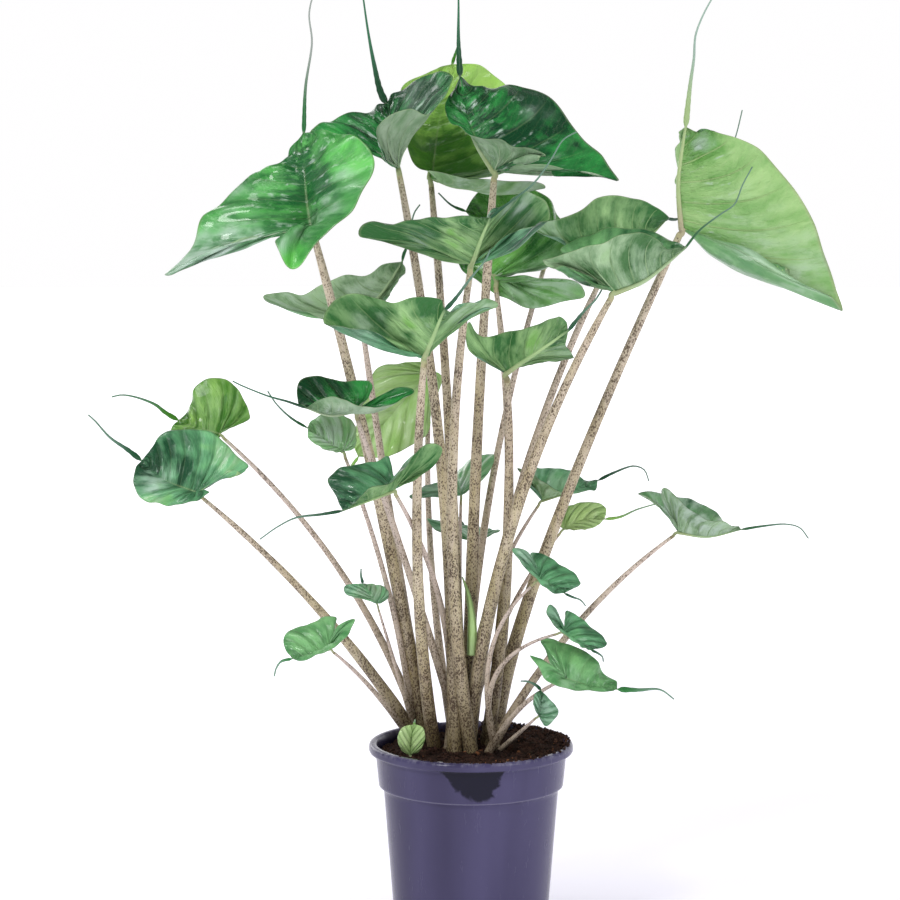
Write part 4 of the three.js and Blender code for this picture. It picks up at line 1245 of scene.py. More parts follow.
@dataclass(frozen=True)
class Soil:
    """The potting soil: a packed bed, heaped on one side, with crumbs over it and the lip, in millimetres.

    floor, collar_foot and the radii are those of the hollow that it fills. The heap rises between the two
    places that heap_right and heap_back give to the right and to the back. Crumbs lie on the lip where
    lip_slope gives the radii of its foot and its top.
    """

    level: float = SOIL_LEVEL
    relief: float = 2.2
    floor: float = 4.3
    top_radius: float = 94.9
    collar_radius: float = 91.9
    body_radius: float = 87.2
    foot_radius: float = 75.2
    collar_foot: float = COLLAR_FOOT - 2
    ring_step: float = 1.6
    sides: int = 160
    heap: float = 10
    heap_right: tuple[float, float] = (10, 75)
    heap_back: tuple[float, float] = (-50, 30)
    crumbs: int = 2600
    drifts: tuple[Drift, ...] = (Drift(650, 32, 30, 92), Drift(150, -78, 20, 98))
    drift_radius: float = 102.5
    lip_height: float = POT_HEIGHT
    lip_slope: tuple[float, float] = (93.5, 98)
    seed: int = 7

    def height(self, x: np.ndarray | float, y: np.ndarray | float) -> np.ndarray:
        """The height of the surface at places on it."""
        lengthwise = np.sin(x * 0.31 + 1.7 * np.sin(y * 0.13))
        crosswise = np.sin(y * 0.37 + 1.3 * np.sin(x * 0.17 + 2))
        heap = self.heap * smooth(x, *self.heap_right) * smooth(y, *self.heap_back)
        return self.level + self.relief * 0.5 * (lengthwise + crosswise) + heap

    def build(self, finish: SoilFinish) -> bpy.types.Object:
        """Builds the soil as one piece.

        Args:
            finish: Its finish.

        Returns:
            The object, dressed.
        """
        form = Form("tint")
        self._bed(form)
        self._crumbs(form)
        return form.piece("fine_soil", finish.dress("finish_soil"))

    def _bed(self, form: Form) -> None:
        """Adds the bed."""
        rings = np.arange(0, self.top_radius, self.ring_step)[::-1]
        wall = [
            (0, self.floor), (self.foot_radius, self.floor), (self.body_radius, self.collar_foot),
            (self.collar_radius, self.collar_foot + 5), (self.top_radius, self.level - 5),
        ]
        profile = np.array([*wall, *[(r, self.level) for r in rings]])
        corners = turned(profile, self.sides)
        top = corners[..., 2] >= self.level - 0.1
        x, y = corners[top][:, 0], corners[top][:, 1]
        rough = np.array([
            noise.noise(Vector((a, b, 0)) * 0.12) * 2.4 + noise.noise(Vector((a, b, 5)) * 0.4) * 1.3
            for a, b in zip(x, y)
        ])
        edge = smooth(self.top_radius - np.hypot(x, y), 0, 6)
        corners[top, 2] = self.height(x, y) + rough * edge - 0.4
        corners = corners.reshape(-1, 3)
        form.add(corners, grid_faces(len(profile), self.sides, closed=True), corners[:, :2] * MM, tint=0.2)

    def _crumbs(self, form: Form) -> None:
        """Adds crumbs of peat and bark, over the bed and then round the lip."""
        draw = np.random.default_rng(self.seed)
        for _ in range(self.crumbs):
            radius = (self.top_radius - 3) * math.sqrt(draw.random())
            angle = draw.random() * 2 * math.pi
            x, y = radius * math.cos(angle), radius * math.sin(angle)
            size = 0.7 + 1.7 * draw.random() ** 3
            self._crumb(form, draw, size, (x, y, float(self.height(x, y)) + size * 0.25))
        for drift in self.drifts:
            for _ in range(drift.count):
                angle = math.radians(draw.normal(drift.way, drift.spread))
                radius = draw.uniform(drift.inner_radius, self.drift_radius)
                size = 0.6 + 1.4 * draw.random() ** 2
                x, y = radius * math.cos(angle), radius * math.sin(angle)
                low = max(float(self.height(x, y)), self.lip_height - 8)
                bed = np.interp(radius, self.lip_slope, [low, self.lip_height])
                self._crumb(form, draw, size, (x, y, float(bed) + size * 0.2))

    def _crumb(self, form: Form, draw: np.random.Generator, size: float, place: Point) -> None:
        """Adds one crumb."""
        ball, faces = crumb_shape()
        shape = ball * (1 + 0.35 * draw.standard_normal((len(ball), 1)))
        shape = shape * (size * np.array([1, 0.5 + 0.6 * draw.random(), 0.4 + 0.5 * draw.random()]))
        turn = np.array(Euler(tuple(draw.random(3) * 6.3)).to_matrix())
        corners = shape @ turn.T + place
        form.add(corners, faces, corners[:, :2] * MM, tint=float(draw.random()))


def crumb_shape() -> tuple[np.ndarray, np.ndarray]:
    """The corners and faces of a ball of 20 triangles."""
    long = (1 + math.sqrt(5)) / 2
    corners = np.array([
        (-1, long, 0), (1, long, 0), (-1, -long, 0), (1, -long, 0), (0, -1, long), (0, 1, long),
        (0, -1, -long), (0, 1, -long), (long, 0, -1), (long, 0, 1), (-long, 0, -1), (-long, 0, 1),
    ])
    faces = np.array([
        (0, 11, 5), (0, 5, 1), (0, 1, 7), (0, 7, 10), (0, 10, 11), (1, 5, 9), (5, 11, 4), (11, 10, 2),
        (10, 7, 6), (7, 1, 8), (3, 9, 4), (3, 4, 2), (3, 2, 6), (3, 6, 8), (3, 8, 9), (4, 9, 5),
        (2, 4, 11), (6, 2, 10), (8, 6, 7), (9, 8, 1),
    ])
    return unit(corners), faces[:, [0, 1, 2, 2]]


@dataclass(frozen=True)
class Pot:
    """The nursery pot: a moulded shell with a rolled lip and a collar, in millimetres.

    The radii are those of the outside. stretch is the longest step along the outline.
    """

    height: float = POT_HEIGHT
    lip_radius: float = 105
    lip_height: float = 9
    lip_width: float = 8
    collar_foot: float = COLLAR_FOOT
    collar_top_radius: float = 98
    collar_foot_radius: float = 95
    body_top_radius: float = 90
    foot_radius: float = 78
    wall: float = 2.5
    floor: float = 4
    drain_holes: int = 6
    drain_radius: float = 7
    drain_circle: float = 52
    stretch: float = 12
    sides: int = 192

    def build(self, finish: PotFinish) -> bpy.types.Object:
        """Builds the pot as one piece.

        Args:
            finish: Its finish.

        Returns:
            The object, dressed.
        """
        form = Form("inside")
        self._shell(form)
        pot = form.piece("fine_pot", finish.dress("finish_pot"))
        self._drill(pot)
        return pot

    def _profile(self) -> np.ndarray:
        """The outline of half a section, from the middle of the foot round the lip to the inside."""
        top, ledge = self.height, self.collar_foot
        under_lip = top - self.lip_height
        lip, lip_hole = self.lip_radius, self.lip_radius - self.lip_width
        collar, low_collar = self.collar_top_radius, self.collar_foot_radius
        body, foot, wall = self.body_top_radius, self.foot_radius, self.wall
        outside = [
            (0, 1.2), (foot - 9, 1.2), (foot - 7, 0), (foot - 2, 0), (foot, 2), (foot + 0.9, 12),
            (body - 0.3, ledge - 6), (body, ledge - 1.2), (body + 1, ledge - 0.3),
            (low_collar - 1.2, ledge), (low_collar - 0.2, ledge + 0.8), (low_collar + 0.1, ledge + 3),
            (collar - 0.1, under_lip - 3), (collar + 0.6, under_lip - 0.6),
            (lip - 2.6, under_lip), (lip - 0.8, under_lip + 0.6), (lip, under_lip + 2.2),
            (lip, top - 3.2), (lip - 0.8, top - 1), (lip - 2.6, top),
        ]
        inside = [
            (lip_hole + 1.2, top), (lip_hole, top - 1.2),
            (collar - wall + 0.6, under_lip - 1), (collar - wall, under_lip - 5),
            (low_collar - wall, ledge + 2.4), (body - wall, ledge - 2),
            (foot - wall, self.floor), (0, self.floor),
        ]
        return np.array([*outside, *inside], float)

    def _shell(self, form: Form) -> None:
        """Adds the turned shell, with each long stretch of its outline cut in steps."""
        outline = self._profile()
        rows = [outline[0]]
        for start, end in zip(outline, outline[1:]):
            parts = max(1, int(np.linalg.norm(end - start) / self.stretch))
            rows += [start + (end - start) * k / parts for k in range(1, parts + 1)]
        profile = np.array(rows)
        corners = turned(profile, self.sides).reshape(-1, 3)
        turns = np.linspace(0, 1, self.sides, endpoint=False)
        grain = np.stack(np.meshgrid(turns, profile[:, 1] * MM), axis=-1).reshape(-1, 2)
        # The inner wall, which the finish paints in shade
        inside = (np.arange(len(profile)) > profile[:, 1].argmax() + 1) & (profile[:, 1] < self.height - 2)
        held = np.repeat(inside.astype(float), self.sides)
        form.add(corners, grid_faces(len(profile), self.sides, closed=True), grain, inside=held)

    def _drill(self, pot: bpy.types.Object) -> None:
        """Cuts the drain holes through the pot's floor."""
        form = Form()
        for k in range(self.drain_holes):
            angle = 2 * math.pi * (k + 0.5) / self.drain_holes
            x, y = self.drain_circle * math.cos(angle), self.drain_circle * math.sin(angle)
            line = np.array([(x, y, -3), (x, y, 2), (x, y, self.floor + 1.5)])
            radii = np.full(3, self.drain_radius)
            sweep(form, line, radii, radii, np.array([1.0, 0, 0]), 32)
        drill = form.piece("drain_drill", pot.data.materials[0])
        cut = pot.modifiers.new("drain_holes", "BOOLEAN")
        cut.operation, cut.object, cut.solver = "DIFFERENCE", drill, "EXACT"
        bpy.context.view_layer.update()
        graph = bpy.context.evaluated_depsgraph_get()
        pot_mesh = bpy.data.meshes.new_from_object(pot.evaluated_get(graph))
        pot.modifiers.clear()
        pot.data = pot_mesh
        bpy.data.objects.remove(drill)


@dataclass(frozen=True)
class Shoot:
    """A slim rolled young shoot, in millimetres.

    radii are spread evenly over its path, and winding is how far the edge of the roll turns, in radians.
    """

    name: str
    look: Look
    path: tuple[Point, ...]
    radii: tuple[float, ...]
    winding: float = 4.2
    rows: int = 40
    sides: int = 18
    roll_sides: int = 8

    def build(self) -> bpy.types.Object:
        """Builds the shoot as a spindle with the edge of its roll wound round it.

        Returns:
            The object, dressed.
        """
        form = Form(*LEAF_VALUES)
        shares = np.linspace(0, 1, self.rows)
        points = Path(self.path).at(shares)
        radii = np.interp(shares, np.linspace(0, 1, len(self.radii)), self.radii)
        sweep(form, points, radii, radii * 0.9, np.array([1.0, 0, 0]), self.sides, tone=0.3)
        turn = shares * self.winding
        aside = np.stack([np.cos(turn), np.sin(turn), np.zeros(len(turn))], axis=1)
        roll = points + aside * (radii * 0.86)[:, None]
        sweep(form, roll, radii * 0.3 + 0.1, radii * 0.22 + 0.1, aside, self.roll_sides, tone=0.6)
        material = self.look.value.dress(f"finish_{self.name}", veins=3, sweep_forward=0.05)
        return form.piece(f"fine_{self.name}", material)


@dataclass(frozen=True)
class Studio:
    """The floor, the soft lights and the camera, in metres.

    surroundings is how bright the white surroundings are as a light. mirrored_back and mirrored_front are
    how bright those behind and before the plant are in reflections, and aim is where the lights point.
    """

    camera_place: Point = (-0.0216, -2.4, 0.72)
    pitch_degrees: float = 5.2
    lens: float = 94.7
    sensor: float = 36
    floor_radius: float = 30
    surroundings: float = 0.52
    mirrored_back: float = 1.2
    mirrored_front: float = 0.3
    aim: Point = (0, 0, 0.55)

    def build(self) -> None:
        """Makes the stage."""
        self._camera()
        self._floor()
        self._world()
        self._lamp("key_light", (-1.6, -2.2, 2.5), 0.7, 38)
        self._lamp("fill_light", (2.1, -1.9, 1.9), 0.9, 22)
        self._lamp("top_light", (-0.9, 0.1, 2.9), 0.8, 16)
        self._lamp("back_light", (-1.3, 2.3, 1.3), 1.2, 9)

    def _camera(self) -> None:
        """Makes the camera at the photograph's viewing angle."""
        lens = bpy.data.cameras.new("camera")
        lens.lens, lens.sensor_width = self.lens, self.sensor
        camera = bpy.data.objects.new("camera", lens)
        camera.location = self.camera_place
        camera.rotation_euler = (math.radians(90 - self.pitch_degrees), 0, 0)
        bpy.context.scene.collection.objects.link(camera)
        bpy.context.scene.camera = camera

    def _floor(self) -> None:
        """Makes the plain pale floor."""
        shade = Shade("floor_finish")
        tint = shade.cloud(shade.place(), 1.2, 2)
        colour = shade.mix(tint, srgb("f6f5fa"), srgb("fbfaff"))
        away = shade.node("ShaderNodeVectorMath", {"operation": "LENGTH"}, {0: shade.place()}, output="Value")
        glow = shade.mix(away.rise(0.5, 3.0), (0.26, 0.25, 0.31), (0.92, 0.91, 0.94))
        material = shade.finish(
            Base_Color=colour, Roughness=0.8, Emission_Color=glow, Emission_Strength=1.0
        )
        turn = np.linspace(0, 2 * np.pi, 64, endpoint=False)
        ring = [(self.floor_radius * math.cos(a), self.floor_radius * math.sin(a), 0) for a in turn]
        mesh = bpy.data.meshes.new("floor")
        mesh.from_pydata(ring, [], [list(range(len(ring)))])
        mesh.materials.append(material)
        floor = bpy.data.objects.new("floor", mesh)
        bpy.context.scene.collection.objects.link(floor)

    def _world(self) -> None:
        """Makes the white surroundings: bright to the eye, softer as a light, dim above in reflections."""
        shade = Shade("studio", "worlds")
        seen = shade.node("ShaderNodeLightPath", output="Is Camera Ray")
        mirrored = shade.node("ShaderNodeLightPath", output="Is Glossy Ray")
        way = shade.node("ShaderNodeTexCoord", output="Generated")
        back = shade.node("ShaderNodeSeparateXYZ", inputs={0: way}, output=1)
        up = shade.node("ShaderNodeSeparateXYZ", inputs={0: way}, output=2)
        mirror = back.rise(-0.3, 0.6) * (self.mirrored_back - self.mirrored_front) + self.mirrored_front
        mirror = mirror * up.rise(0.6, 0.05) + self.mirrored_front * 0.3
        light = mirrored * (mirror - self.surroundings) + self.surroundings
        strength = seen * (1.0 - light) + light
        light = shade.node("ShaderNodeBackground", inputs={"Color": (1.0, 0.995, 1.0), "Strength": strength})
        shade.node("ShaderNodeOutputWorld", inputs={"Surface": light})
        bpy.context.scene.world = shade.owner
        bpy.context.scene.view_settings.view_transform = "Standard"

    def _lamp(self, name: str, place: Point, size: float, power: float) -> None:
        """Makes a soft square light that faces the plant.

        Args:
            name: Its name.
            place: Where it stands.
            size: The length of its side.
            power: Its power in watts.
        """
        lamp = bpy.data.lights.new(name, "AREA")
        lamp.shape, lamp.size, lamp.energy = "SQUARE", size, power
        made = bpy.data.objects.new(name, lamp)
        made.location = place
        away = Vector(place) - Vector(self.aim)
        made.rotation_euler = away.to_track_quat("Z", "Y").to_euler()
        made.visible_camera = False
        bpy.context.scene.collection.objects.link(made)


LEAVES = (
    Leaf(
        "blade_great_left", "stalks_left", Look.BRIGHT,
        joint=(-159, -40, 727), foot=(-47, 52), bow=(8, -16, 0), girth=(8.5, 3.6), arch=0.1,
        light_and_shade=(
            (46, 66, 20, 0.7), (-14, -34, 18, 0.8), (-16, 58, 24, -0.7), (10, 46, 14, -0.6),
            (-50, 30, 30, -0.1), (-84, 6, 26, 0.1),
        ),
        sheens=(
            (-24, -14, 9, 0.7), (-6, -6, 7, 0.7), (8, 9, 8, 0.8), (21, 25, 10, 0.8), (36, 43, 12, 0.6),
            (-134, -46, 18, 1), (-106, -36, 16, 1), (-78, -26, 14, 1), (-50, -16, 11, 0.9),
            (-52, -3, 10, 0.5), (-76, -8, 12, 0.6), (-100, -14, 13, 0.6), (-74, 42, 12, 0.5),
            (-80, 17, 8, 0.5),
        ),
        tail_band=1.8,
        rib=((-5, 4, 33), (-9, 20, 94)),
        tail=((-7, 30, 140), (-1, 40, 185), (-4, 48, 215), (4, 55, 247)),
        left=(
            (-30, 28, 65), (-61, 25, 52), (-103, 2, 14), (-121, -18, -22), (-142, -30, -47),
            (-104, -26, -33), (-49, -15, -17),
        ),
        right=(
            (18, 10, 94), (46, -10, 87), (64, -38, 63), (46, -72, 22), (15, -95, -14), (-14, -105, -39),
            (-31, -88, -20), (-13, -45, 0),
        ),
    ),
    Leaf(
        "blade_top_left", "stalks_main", Look.DEEP,
        joint=(-74, 10, 786), foot=(-17, 2), bow=(15, -6, 0), girth=(8.5, 3.2), arch=0.08,
        light_and_shade=((-45, 48, 34, -0.2), (10, 75, 30, -0.6), (14, 24, 26, 0.3), (-66, 38, 14, 0.7)),
        sheens=((22, 78, 22, 0.25),),
        tail_band=3.2,
        rib=((-8, 28, 30), (-13, 45, 68)),
        tail=((-19, 48, 80), (-26, 50, 110), (-32, 52, 143), (-38, 50, 186)),
        left=((-35, 52, 63), (-67, 35, 52), (-89, 0, 36), (-58, -15, 28), (-28, -10, 17)),
        right=(
            (1, 52, 80), (30, 45, 98), (55, 15, 94), (45, -20, 66), (29, -38, 52), (11, -55, 56),
            (-21, -62, 40), (-17, -45, 22),
        ),
    ),
    Leaf(
        "blade_top_back", "stalks_main", Look.OLIVE,
        joint=(-42, 95, 779), foot=(-12, 22), bow=(6, 0, 0), girth=(7.5, 3), arch=-0.08,
        light_and_shade=((10, 22, 44, -0.55), (25, 112, 26, 0.9), (-12, 92, 24, 0.6), (60, 100, 30, 0.8)),
        sheens=((36, -9, 14, 0.7), (70, -9, 18, 0.8), (104, -9, 16, 0.7)),
        rib=((9, 30, 62), (23, 55, 122)),
        tail=((26, 70, 133), (29, 95, 145), (30, 120, 155)),
        left=(
            (-6, 30, 112), (-30, 5, 92), (-27, -20, 39), (-9, -45, 9), (30, -70, 0), (76, -75, -2),
            (118, -60, -10), (72, -20, -7),
        ),
        right=((52, 65, 121), (84, 63, 95), (105, 45, 52), (115, 25, 20), (72, 10, 12), (30, 3, 5)),
    ),
    Leaf(
        "blade_top_middle", "stalks_main", Look.DEEP,
        joint=(23, -20, 783), foot=(-3, 18), bow=(-5, 8, 0), girth=(7.5, 3.2), arch=0.06,
        light_and_shade=((20, 62, 46, -0.5), (70, 55, 34, -0.2), (100, 14, 24, 0.3)),
        sheens=((44, 66, 12, 0.3),),
        tail_band=3.4,
        rib=((-21, 25, 37), (-34, 50, 97)),
        tail=((-36, 52, 134), (-36, 50, 173), (-37, 48, 195)),
        left=(
            (-44, 42, 81), (-50, 28, 62), (-37, 5, 44), (-1, -28, 30), (27, -42, 22), (49, -50, 14),
            (24, -25, 11),
        ),
        right=(
            (-11, 70, 86), (17, 85, 91), (49, 92, 83), (86, 82, 45), (113, 65, 10), (128, 55, -8),
            (98, 50, 6), (51, 32, 8),
        ),
    ),
    Leaf(
        "blade_great_right", "stalks_right", Look.PALE,
        joint=(216, 30, 726), foot=(25, 44), bow=(-43, 0, -65), girth=(9, 3.6), arch=0.06,
        light_and_shade=(
            (24, 84, 22, -0.9), (95, 40, 40, 0.2), (130, 10, 26, 0.2), (20, 30, 20, 0.2),
            (50, 92, 12, 0.4),
        ),
        sheens=((70, 0, 30, 0.25), (130, -50, 34, 0.45), (60, -25, 30, 0.35), (20, 92, 10, 0.6)),
        tail_band=2.4,
        rib=((-4, -2, 45), (2, -5, 103)),
        tail=((6, -6, 146), (9, -10, 171), (10, -15, 194), (17, -20, 214), (27, -25, 233)),
        left=(
            (23, 5, 94), (39, 12, 97), (80, 30, 83), (116, 40, 45), (139, 38, 7), (150, 30, -27),
            (160, 20, -58), (168, 15, -83), (156, 10, -71), (99, 8, -39), (37, 3, -13),
        ),
        right=((-5, 10, 98), (-4, 40, 88), (-2, 66, 66), (2, 74, 48), (4, 50, 36), (2, 20, 14)),
    ),
    Leaf(
        "blade_upper_front", "stalks_main", Look.COOL,
        joint=(-1, -95, 691), foot=(0, 0), bow=(-19, 8, 0), girth=(7.5, 3), arch=0.08,
        light_and_shade=(
            (-96, 35, 16, -1), (-60, 30, 26, -0.5), (-34, 36, 9, -0.8), (-17, 26, 14, 1),
            (-6, 38, 7, -1), (45, 52, 30, -0.5), (20, 18, 14, 0.3), (-60, 14, 14, 0.3),
        ),
        sheens=((-50, 22, 12, 0.5), (44, 56, 16, 0.7)),
        rib=((9, -25, 26), (17, -45, 45)),
        tail=((30, -55, 55), (58, -70, 77), (74, -77, 99), (85, -83, 117), (97, -87, 124)),
        left=((27, -30, 57), (51, 0, 70), (73, 17, 61), (76, 10, 45), (57, -13, 38), (35, -15, 27)),
        right=(
            (0, -45, 43), (-25, -40, 45), (-70, -15, 41), (-106, 10, 38), (-109, 23, 28), (-64, 20, 15),
            (-25, 10, 3),
        ),
    ),
    Leaf(
        "blade_upper_back", "stalks_main", Look.MOSS,
        joint=(80, 115, 691), foot=(-8, 32), bow=(-16, 10, 4), girth=(5.5, 2.4), arch=0.08,
        rib=((-40, 10, 35), (-85, 10, 54)),
        tail=((-100, 10, 60), (-114, 12, 73)),
        left=((-79, -2, 42), (-59, -18, 23), (-28, -25, 11), (8, -22, 0)),
        right=(
            (-78, 15, 66), (-58, 30, 82), (-24, 45, 82), (4, 50, 67), (19, 45, 42), (32, 30, 18),
            (21, 15, 4),
        ),
    ),
    Leaf(
        "blade_upper_low", "stalks_right", Look.MOSS,
        joint=(24, 40, 677), foot=(20, 52), bow=(18, 4, 0), girth=(6.5, 2.6), arch=0.06, neck=16,
        light_and_shade=((40, 22, 34, -0.2), (55, -18, 34, 0.6), (-4, 20, 20, 0.3)),
        sheens=((55, -20, 34, 0.8),),
        rib=((-23, 12, 11), (-43, 20, 25)),
        tail=((-50, 26, 34), (-60, 36, 41)),
        left=(
            (-38, 10, 15), (-19, 10, -3), (9, 5, -21), (39, -2, -32), (67, -12, -27), (92, -20, -20),
            (82, -32, -6), (51, -32, 0), (21, -22, 0),
        ),
        right=(
            (-24, 20, 32), (13, 24, 44), (56, 24, 51), (72, 20, 46), (74, 10, 32), (70, 4, 16),
            (48, 4, 7),
        ),
    ),
    Leaf(
        "blade_right_front", "stalks_main", Look.GREY,
        joint=(141, -60, 664), foot=(-3, 10), bow=(-25, 0, 10), girth=(8.5, 3.2), arch=0.1,
        light_and_shade=(
            (-22, 14, 14, -0.5), (30, 46, 18, -0.6), (-9, 36, 14, 0.6), (-50, 40, 20, 0.3),
            (10, 30, 8, -0.6),
        ),
        sheens=((30, 8, 24, 0.3),),
        rib=((30, 10, 12), (71, 20, 44)),
        tail=((85, 22, 60), (106, 24, 76), (120, 24, 86), (128, 26, 105), (138, 30, 123)),
        left=(
            (55, 38, 53), (34, 55, 62), (-1, 68, 62), (-31, 75, 54), (-51, 68, 41), (-32, 40, 29),
            (-14, 18, 11),
        ),
        right=(
            (52, -2, 44), (39, -15, 51), (20, -28, 58), (-18, -40, 48), (-51, -40, 37), (-72, -32, 31),
            (-54, -25, 25), (-26, -15, 15),
        ),
    ),
    Leaf(
        "blade_right_back", "stalks_main", Look.COOL,
        joint=(137, 20, 684), foot=(-2, 24), bow=(-20, 2, 12), girth=(6, 2.6), arch=0.08,
        light_and_shade=((-20, 40, 30, -0.3), (60, 60, 24, -0.9), (0, 56, 14, 0.4)),
        sheens=((-60, 45, 20, 0.4),),
        rib=((36, 20, 25), (65, 36, 53)),
        tail=((78, 50, 52), (104, 68, 68), (125, 78, 98), (141, 84, 138), (148, 86, 166)),
        left=((60, 60, 57), (40, 75, 62), (-1, 80, 59), (-33, 70, 45), (-27, 40, 24)),
        right=(
            (65, 20, 57), (50, 12, 63), (22, 2, 74), (-7, -4, 73), (-39, -6, 54), (-74, -4, 43),
            (-47, -2, 30), (-21, 0, 10),
        ),
    ),
    Leaf(
        "blade_middle_right", "stalks_right", Look.COOL,
        joint=(35, -40, 583), foot=(17, 37), bow=(10, 2, 0), girth=(7.5, 3.2), arch=0.1,
        light_and_shade=((0, 30, 12, -0.7), (26, 30, 15, 0.9), (-26, 24, 12, 0.2), (48, 30, 10, -0.5)),
        sheens=((60, 20, 20, 0.3),),
        rib=((30, -18, 21), (60, -22, 42)),
        tail=((75, -22, 61), (87, -20, 73), (98, -16, 91)),
        left=((59, -20, 35), (58, -15, 27), (67, -2, 15), (43, 2, 11), (18, 2, 6)),
        right=(
            (56, -15, 55), (39, 5, 52), (18, 14, 43), (2, 22, 40), (-24, 16, 35), (-38, 8, 50),
            (-39, 2, 29), (-25, 0, 14),
        ),
    ),
    Leaf(
        "blade_middle_left_back", "stalks_left", Look.GREY,
        joint=(-114, 60, 634), foot=(-46, 64), bow=(-2, 6, 0), girth=(5.5, 2.6), arch=0.06,
        light_and_shade=((-40, 20, 34, 0.6), (30, 34, 18, 0.2)),
        sheens=((-80, 20, 26, 0.6), (-10, 20, 30, 0.4)),
        rib=((25, 8, 29), (43, 15, 58)),
        tail=((44, 16, 65), (48, 18, 75), (55, 20, 108), (61, 22, 117)),
        left=((46, 10, 50), (35, 2, 33), (24, -5, 19), (12, -5, 6)),
        right=(
            (24, 25, 55), (4, 35, 44), (-34, 40, 39), (-65, 30, 22), (-82, 20, 29), (-101, 5, 24),
            (-92, -10, 15), (-57, -15, 7), (-27, -10, 0),
        ),
    ),
    Leaf(
        "blade_middle_front", "stalk_middle_front", Look.COOL,
        joint=(-46, -120, 603), foot=(-38, 22), bow=(-12, -16, 0), girth=(7.5, 3.2), arch=0.08,
        light_and_shade=(
            (2, 50, 14, -1), (-15, 34, 12, 1), (-16, 21, 6, -0.9), (-40, 34, 12, -0.5),
            (-80, 45, 22, -0.4), (0, 16, 12, 0.4), (50, 46, 20, 0.2),
        ),
        sheens=((50, 40, 24, 0.6), (-56, 30, 14, 0.5)),
        rib=((11, -20, 27), (20, -32, 46)),
        tail=((28, -40, 55), (43, -50, 75), (58, -58, 94), (62, -60, 103)),
        left=(
            (30, -28, 44), (45, -20, 52), (59, -10, 56), (71, -2, 49), (47, 2, 43), (31, 2, 33),
            (16, 2, 14),
        ),
        right=(
            (13, -15, 56), (-12, -5, 57), (-29, -2, 52), (-77, 15, 59), (-92, 20, 49), (-97, 8, 34),
            (-70, -10, 30), (-41, -8, 21), (-19, -4, 7),
        ),
    ),
    Leaf(
        "blade_far_left_front", "stalks_left", Look.COOL,
        joint=(-276, -40, 462), foot=(-54, 42), bow=(12, 0, 8), girth=(7, 1.9), arch=0.08,
        light_and_shade=(
            (-34, 34, 18, -0.9), (-58, 22, 12, -0.6), (-40, -12, 24, 1), (30, 40, 30, 1),
            (-12, 20, 9, -0.7),
        ),
        sheens=((28, 36, 16, 0.6), (-40, 8, 14, 0.7)),
        tail_band=3.2,
        rib=((-31, -2, 13), (-54, -2, 33)),
        tail=((-67, -2, 43), (-86, 0, 56), (-101, 4, 72), (-108, 6, 78)),
        left=(
            (-59, -12, 26), (-59, -24, 9), (-45, -34, -5), (-20, -36, -7), (4, -28, -4), (15, -18, 3),
            (8, -8, 4),
        ),
        right=(
            (-45, 12, 45), (-39, 28, 55), (-15, 45, 60), (7, 50, 58), (22, 45, 49), (37, 32, 35),
            (51, 18, 24), (28, 10, 16), (11, 4, 8),
        ),
    ),
    Leaf(
        "blade_far_left_back", "stalks_left", Look.OLIVE,
        joint=(-260, 35, 515), foot=(-50, 54), bow=(22, 0, 14), girth=(5, 1.8), arch=0.06,
        tail_band=3,
        sheens=((0, 20, 50, 0.15),),
        light_and_shade=((-10, 20, 60, -0.15),),
        rib=((-20, 3, 6), (-42, 5, 14)),
        tail=((-56, 5, 22), (-66, 5, 30), (-87, 5, 38), (-101, 5, 40), (-111, 5, 38)),
        left=((-49, -5, 5), (-47, -11, -10), (-29, -13, -22), (-10, -11, -18), (-3, -5, -9)),
        right=(
            (-34, 17, 21), (-31, 27, 36), (-26, 35, 48), (-11, 41, 55), (9, 43, 50), (22, 35, 35),
            (30, 23, 15), (21, 13, 9), (9, 5, 6),
        ),
    ),
    Leaf(
        "blade_left_cupped", "stalks_main", Look.DEEP,
        joint=(-116, -70, 547), foot=(-8, 28), bow=(2, 0, 0), girth=(5, 2.2), arch=-0.1,
        light_and_shade=((-45, 22, 24, -0.9), (20, 16, 24, 0.5)),
        tail_band=2.2,
        rib=((-24, 0, -4), (-47, 0, 3)),
        tail=((-66, 0, 9), (-84, 0, 14), (-112, 2, 25), (-120, 2, 29)),
        left=(
            (-35, -12, 11), (-22, -22, 15), (-8, -25, 12), (9, -22, 6), (31, -18, 6), (51, -10, 14),
            (58, -2, 21), (45, 2, 23), (24, 2, 14),
        ),
        right=(
            (-56, 10, 8), (-56, 22, 27), (-43, 32, 32), (-9, 38, 26), (13, 34, 28), (17, 22, 17),
            (10, 10, 7),
        ),
    ),
    Leaf(
        "blade_left_curled", "stalks_left", Look.GREY,
        joint=(-129, -40, 504), foot=(-58, 48), bow=(11, 0, 0), girth=(4.5, 1.7), arch=0.1,
        light_and_shade=((-10, 16, 34, 1.3),),
        sheens=((-10, 16, 34, 0.8),),
        rib=((-17, -2, 11), (-35, -2, 24)),
        tail=((-51, 0, 33), (-66, 2, 47), (-75, 4, 60)),
        left=((-33, -12, 14), (-20, -18, 5), (-2, -12, 0)),
        right=((-31, 10, 30), (-14, 20, 36), (6, 22, 31), (13, 16, 18), (11, 8, 4)),
    ),
    Leaf(
        "blade_young_hanging", "stalks_back", Look.YOUNG,
        joint=(-43, 140, 571), foot=(-18, 60), bow=(-12, 30, 0), girth=(5, 2.2), arch=0.08,
        light_and_shade=((-30, -40, 40, 0.3),),
        sheens=((-30, -40, 60, 0.2),),
        rib=((-33, 2, -34), (-77, -16, -88)),
        tail=((-86, -24, -102), (-91, -30, -123)),
        left=(
            (-45, -28, -87), (-24, -27, -77), (-2, -24, -62), (1, -18, -44), (9, -10, -20),
            (13, -3, -2),
        ),
        right=((-82, -12, -74), (-75, -2, -41), (-64, 6, -4), (-50, 8, 7), (-19, 5, 12), (-2, 2, 11)),
    ),
    Leaf(
        "blade_low_front", "stalks_main", Look.COOL,
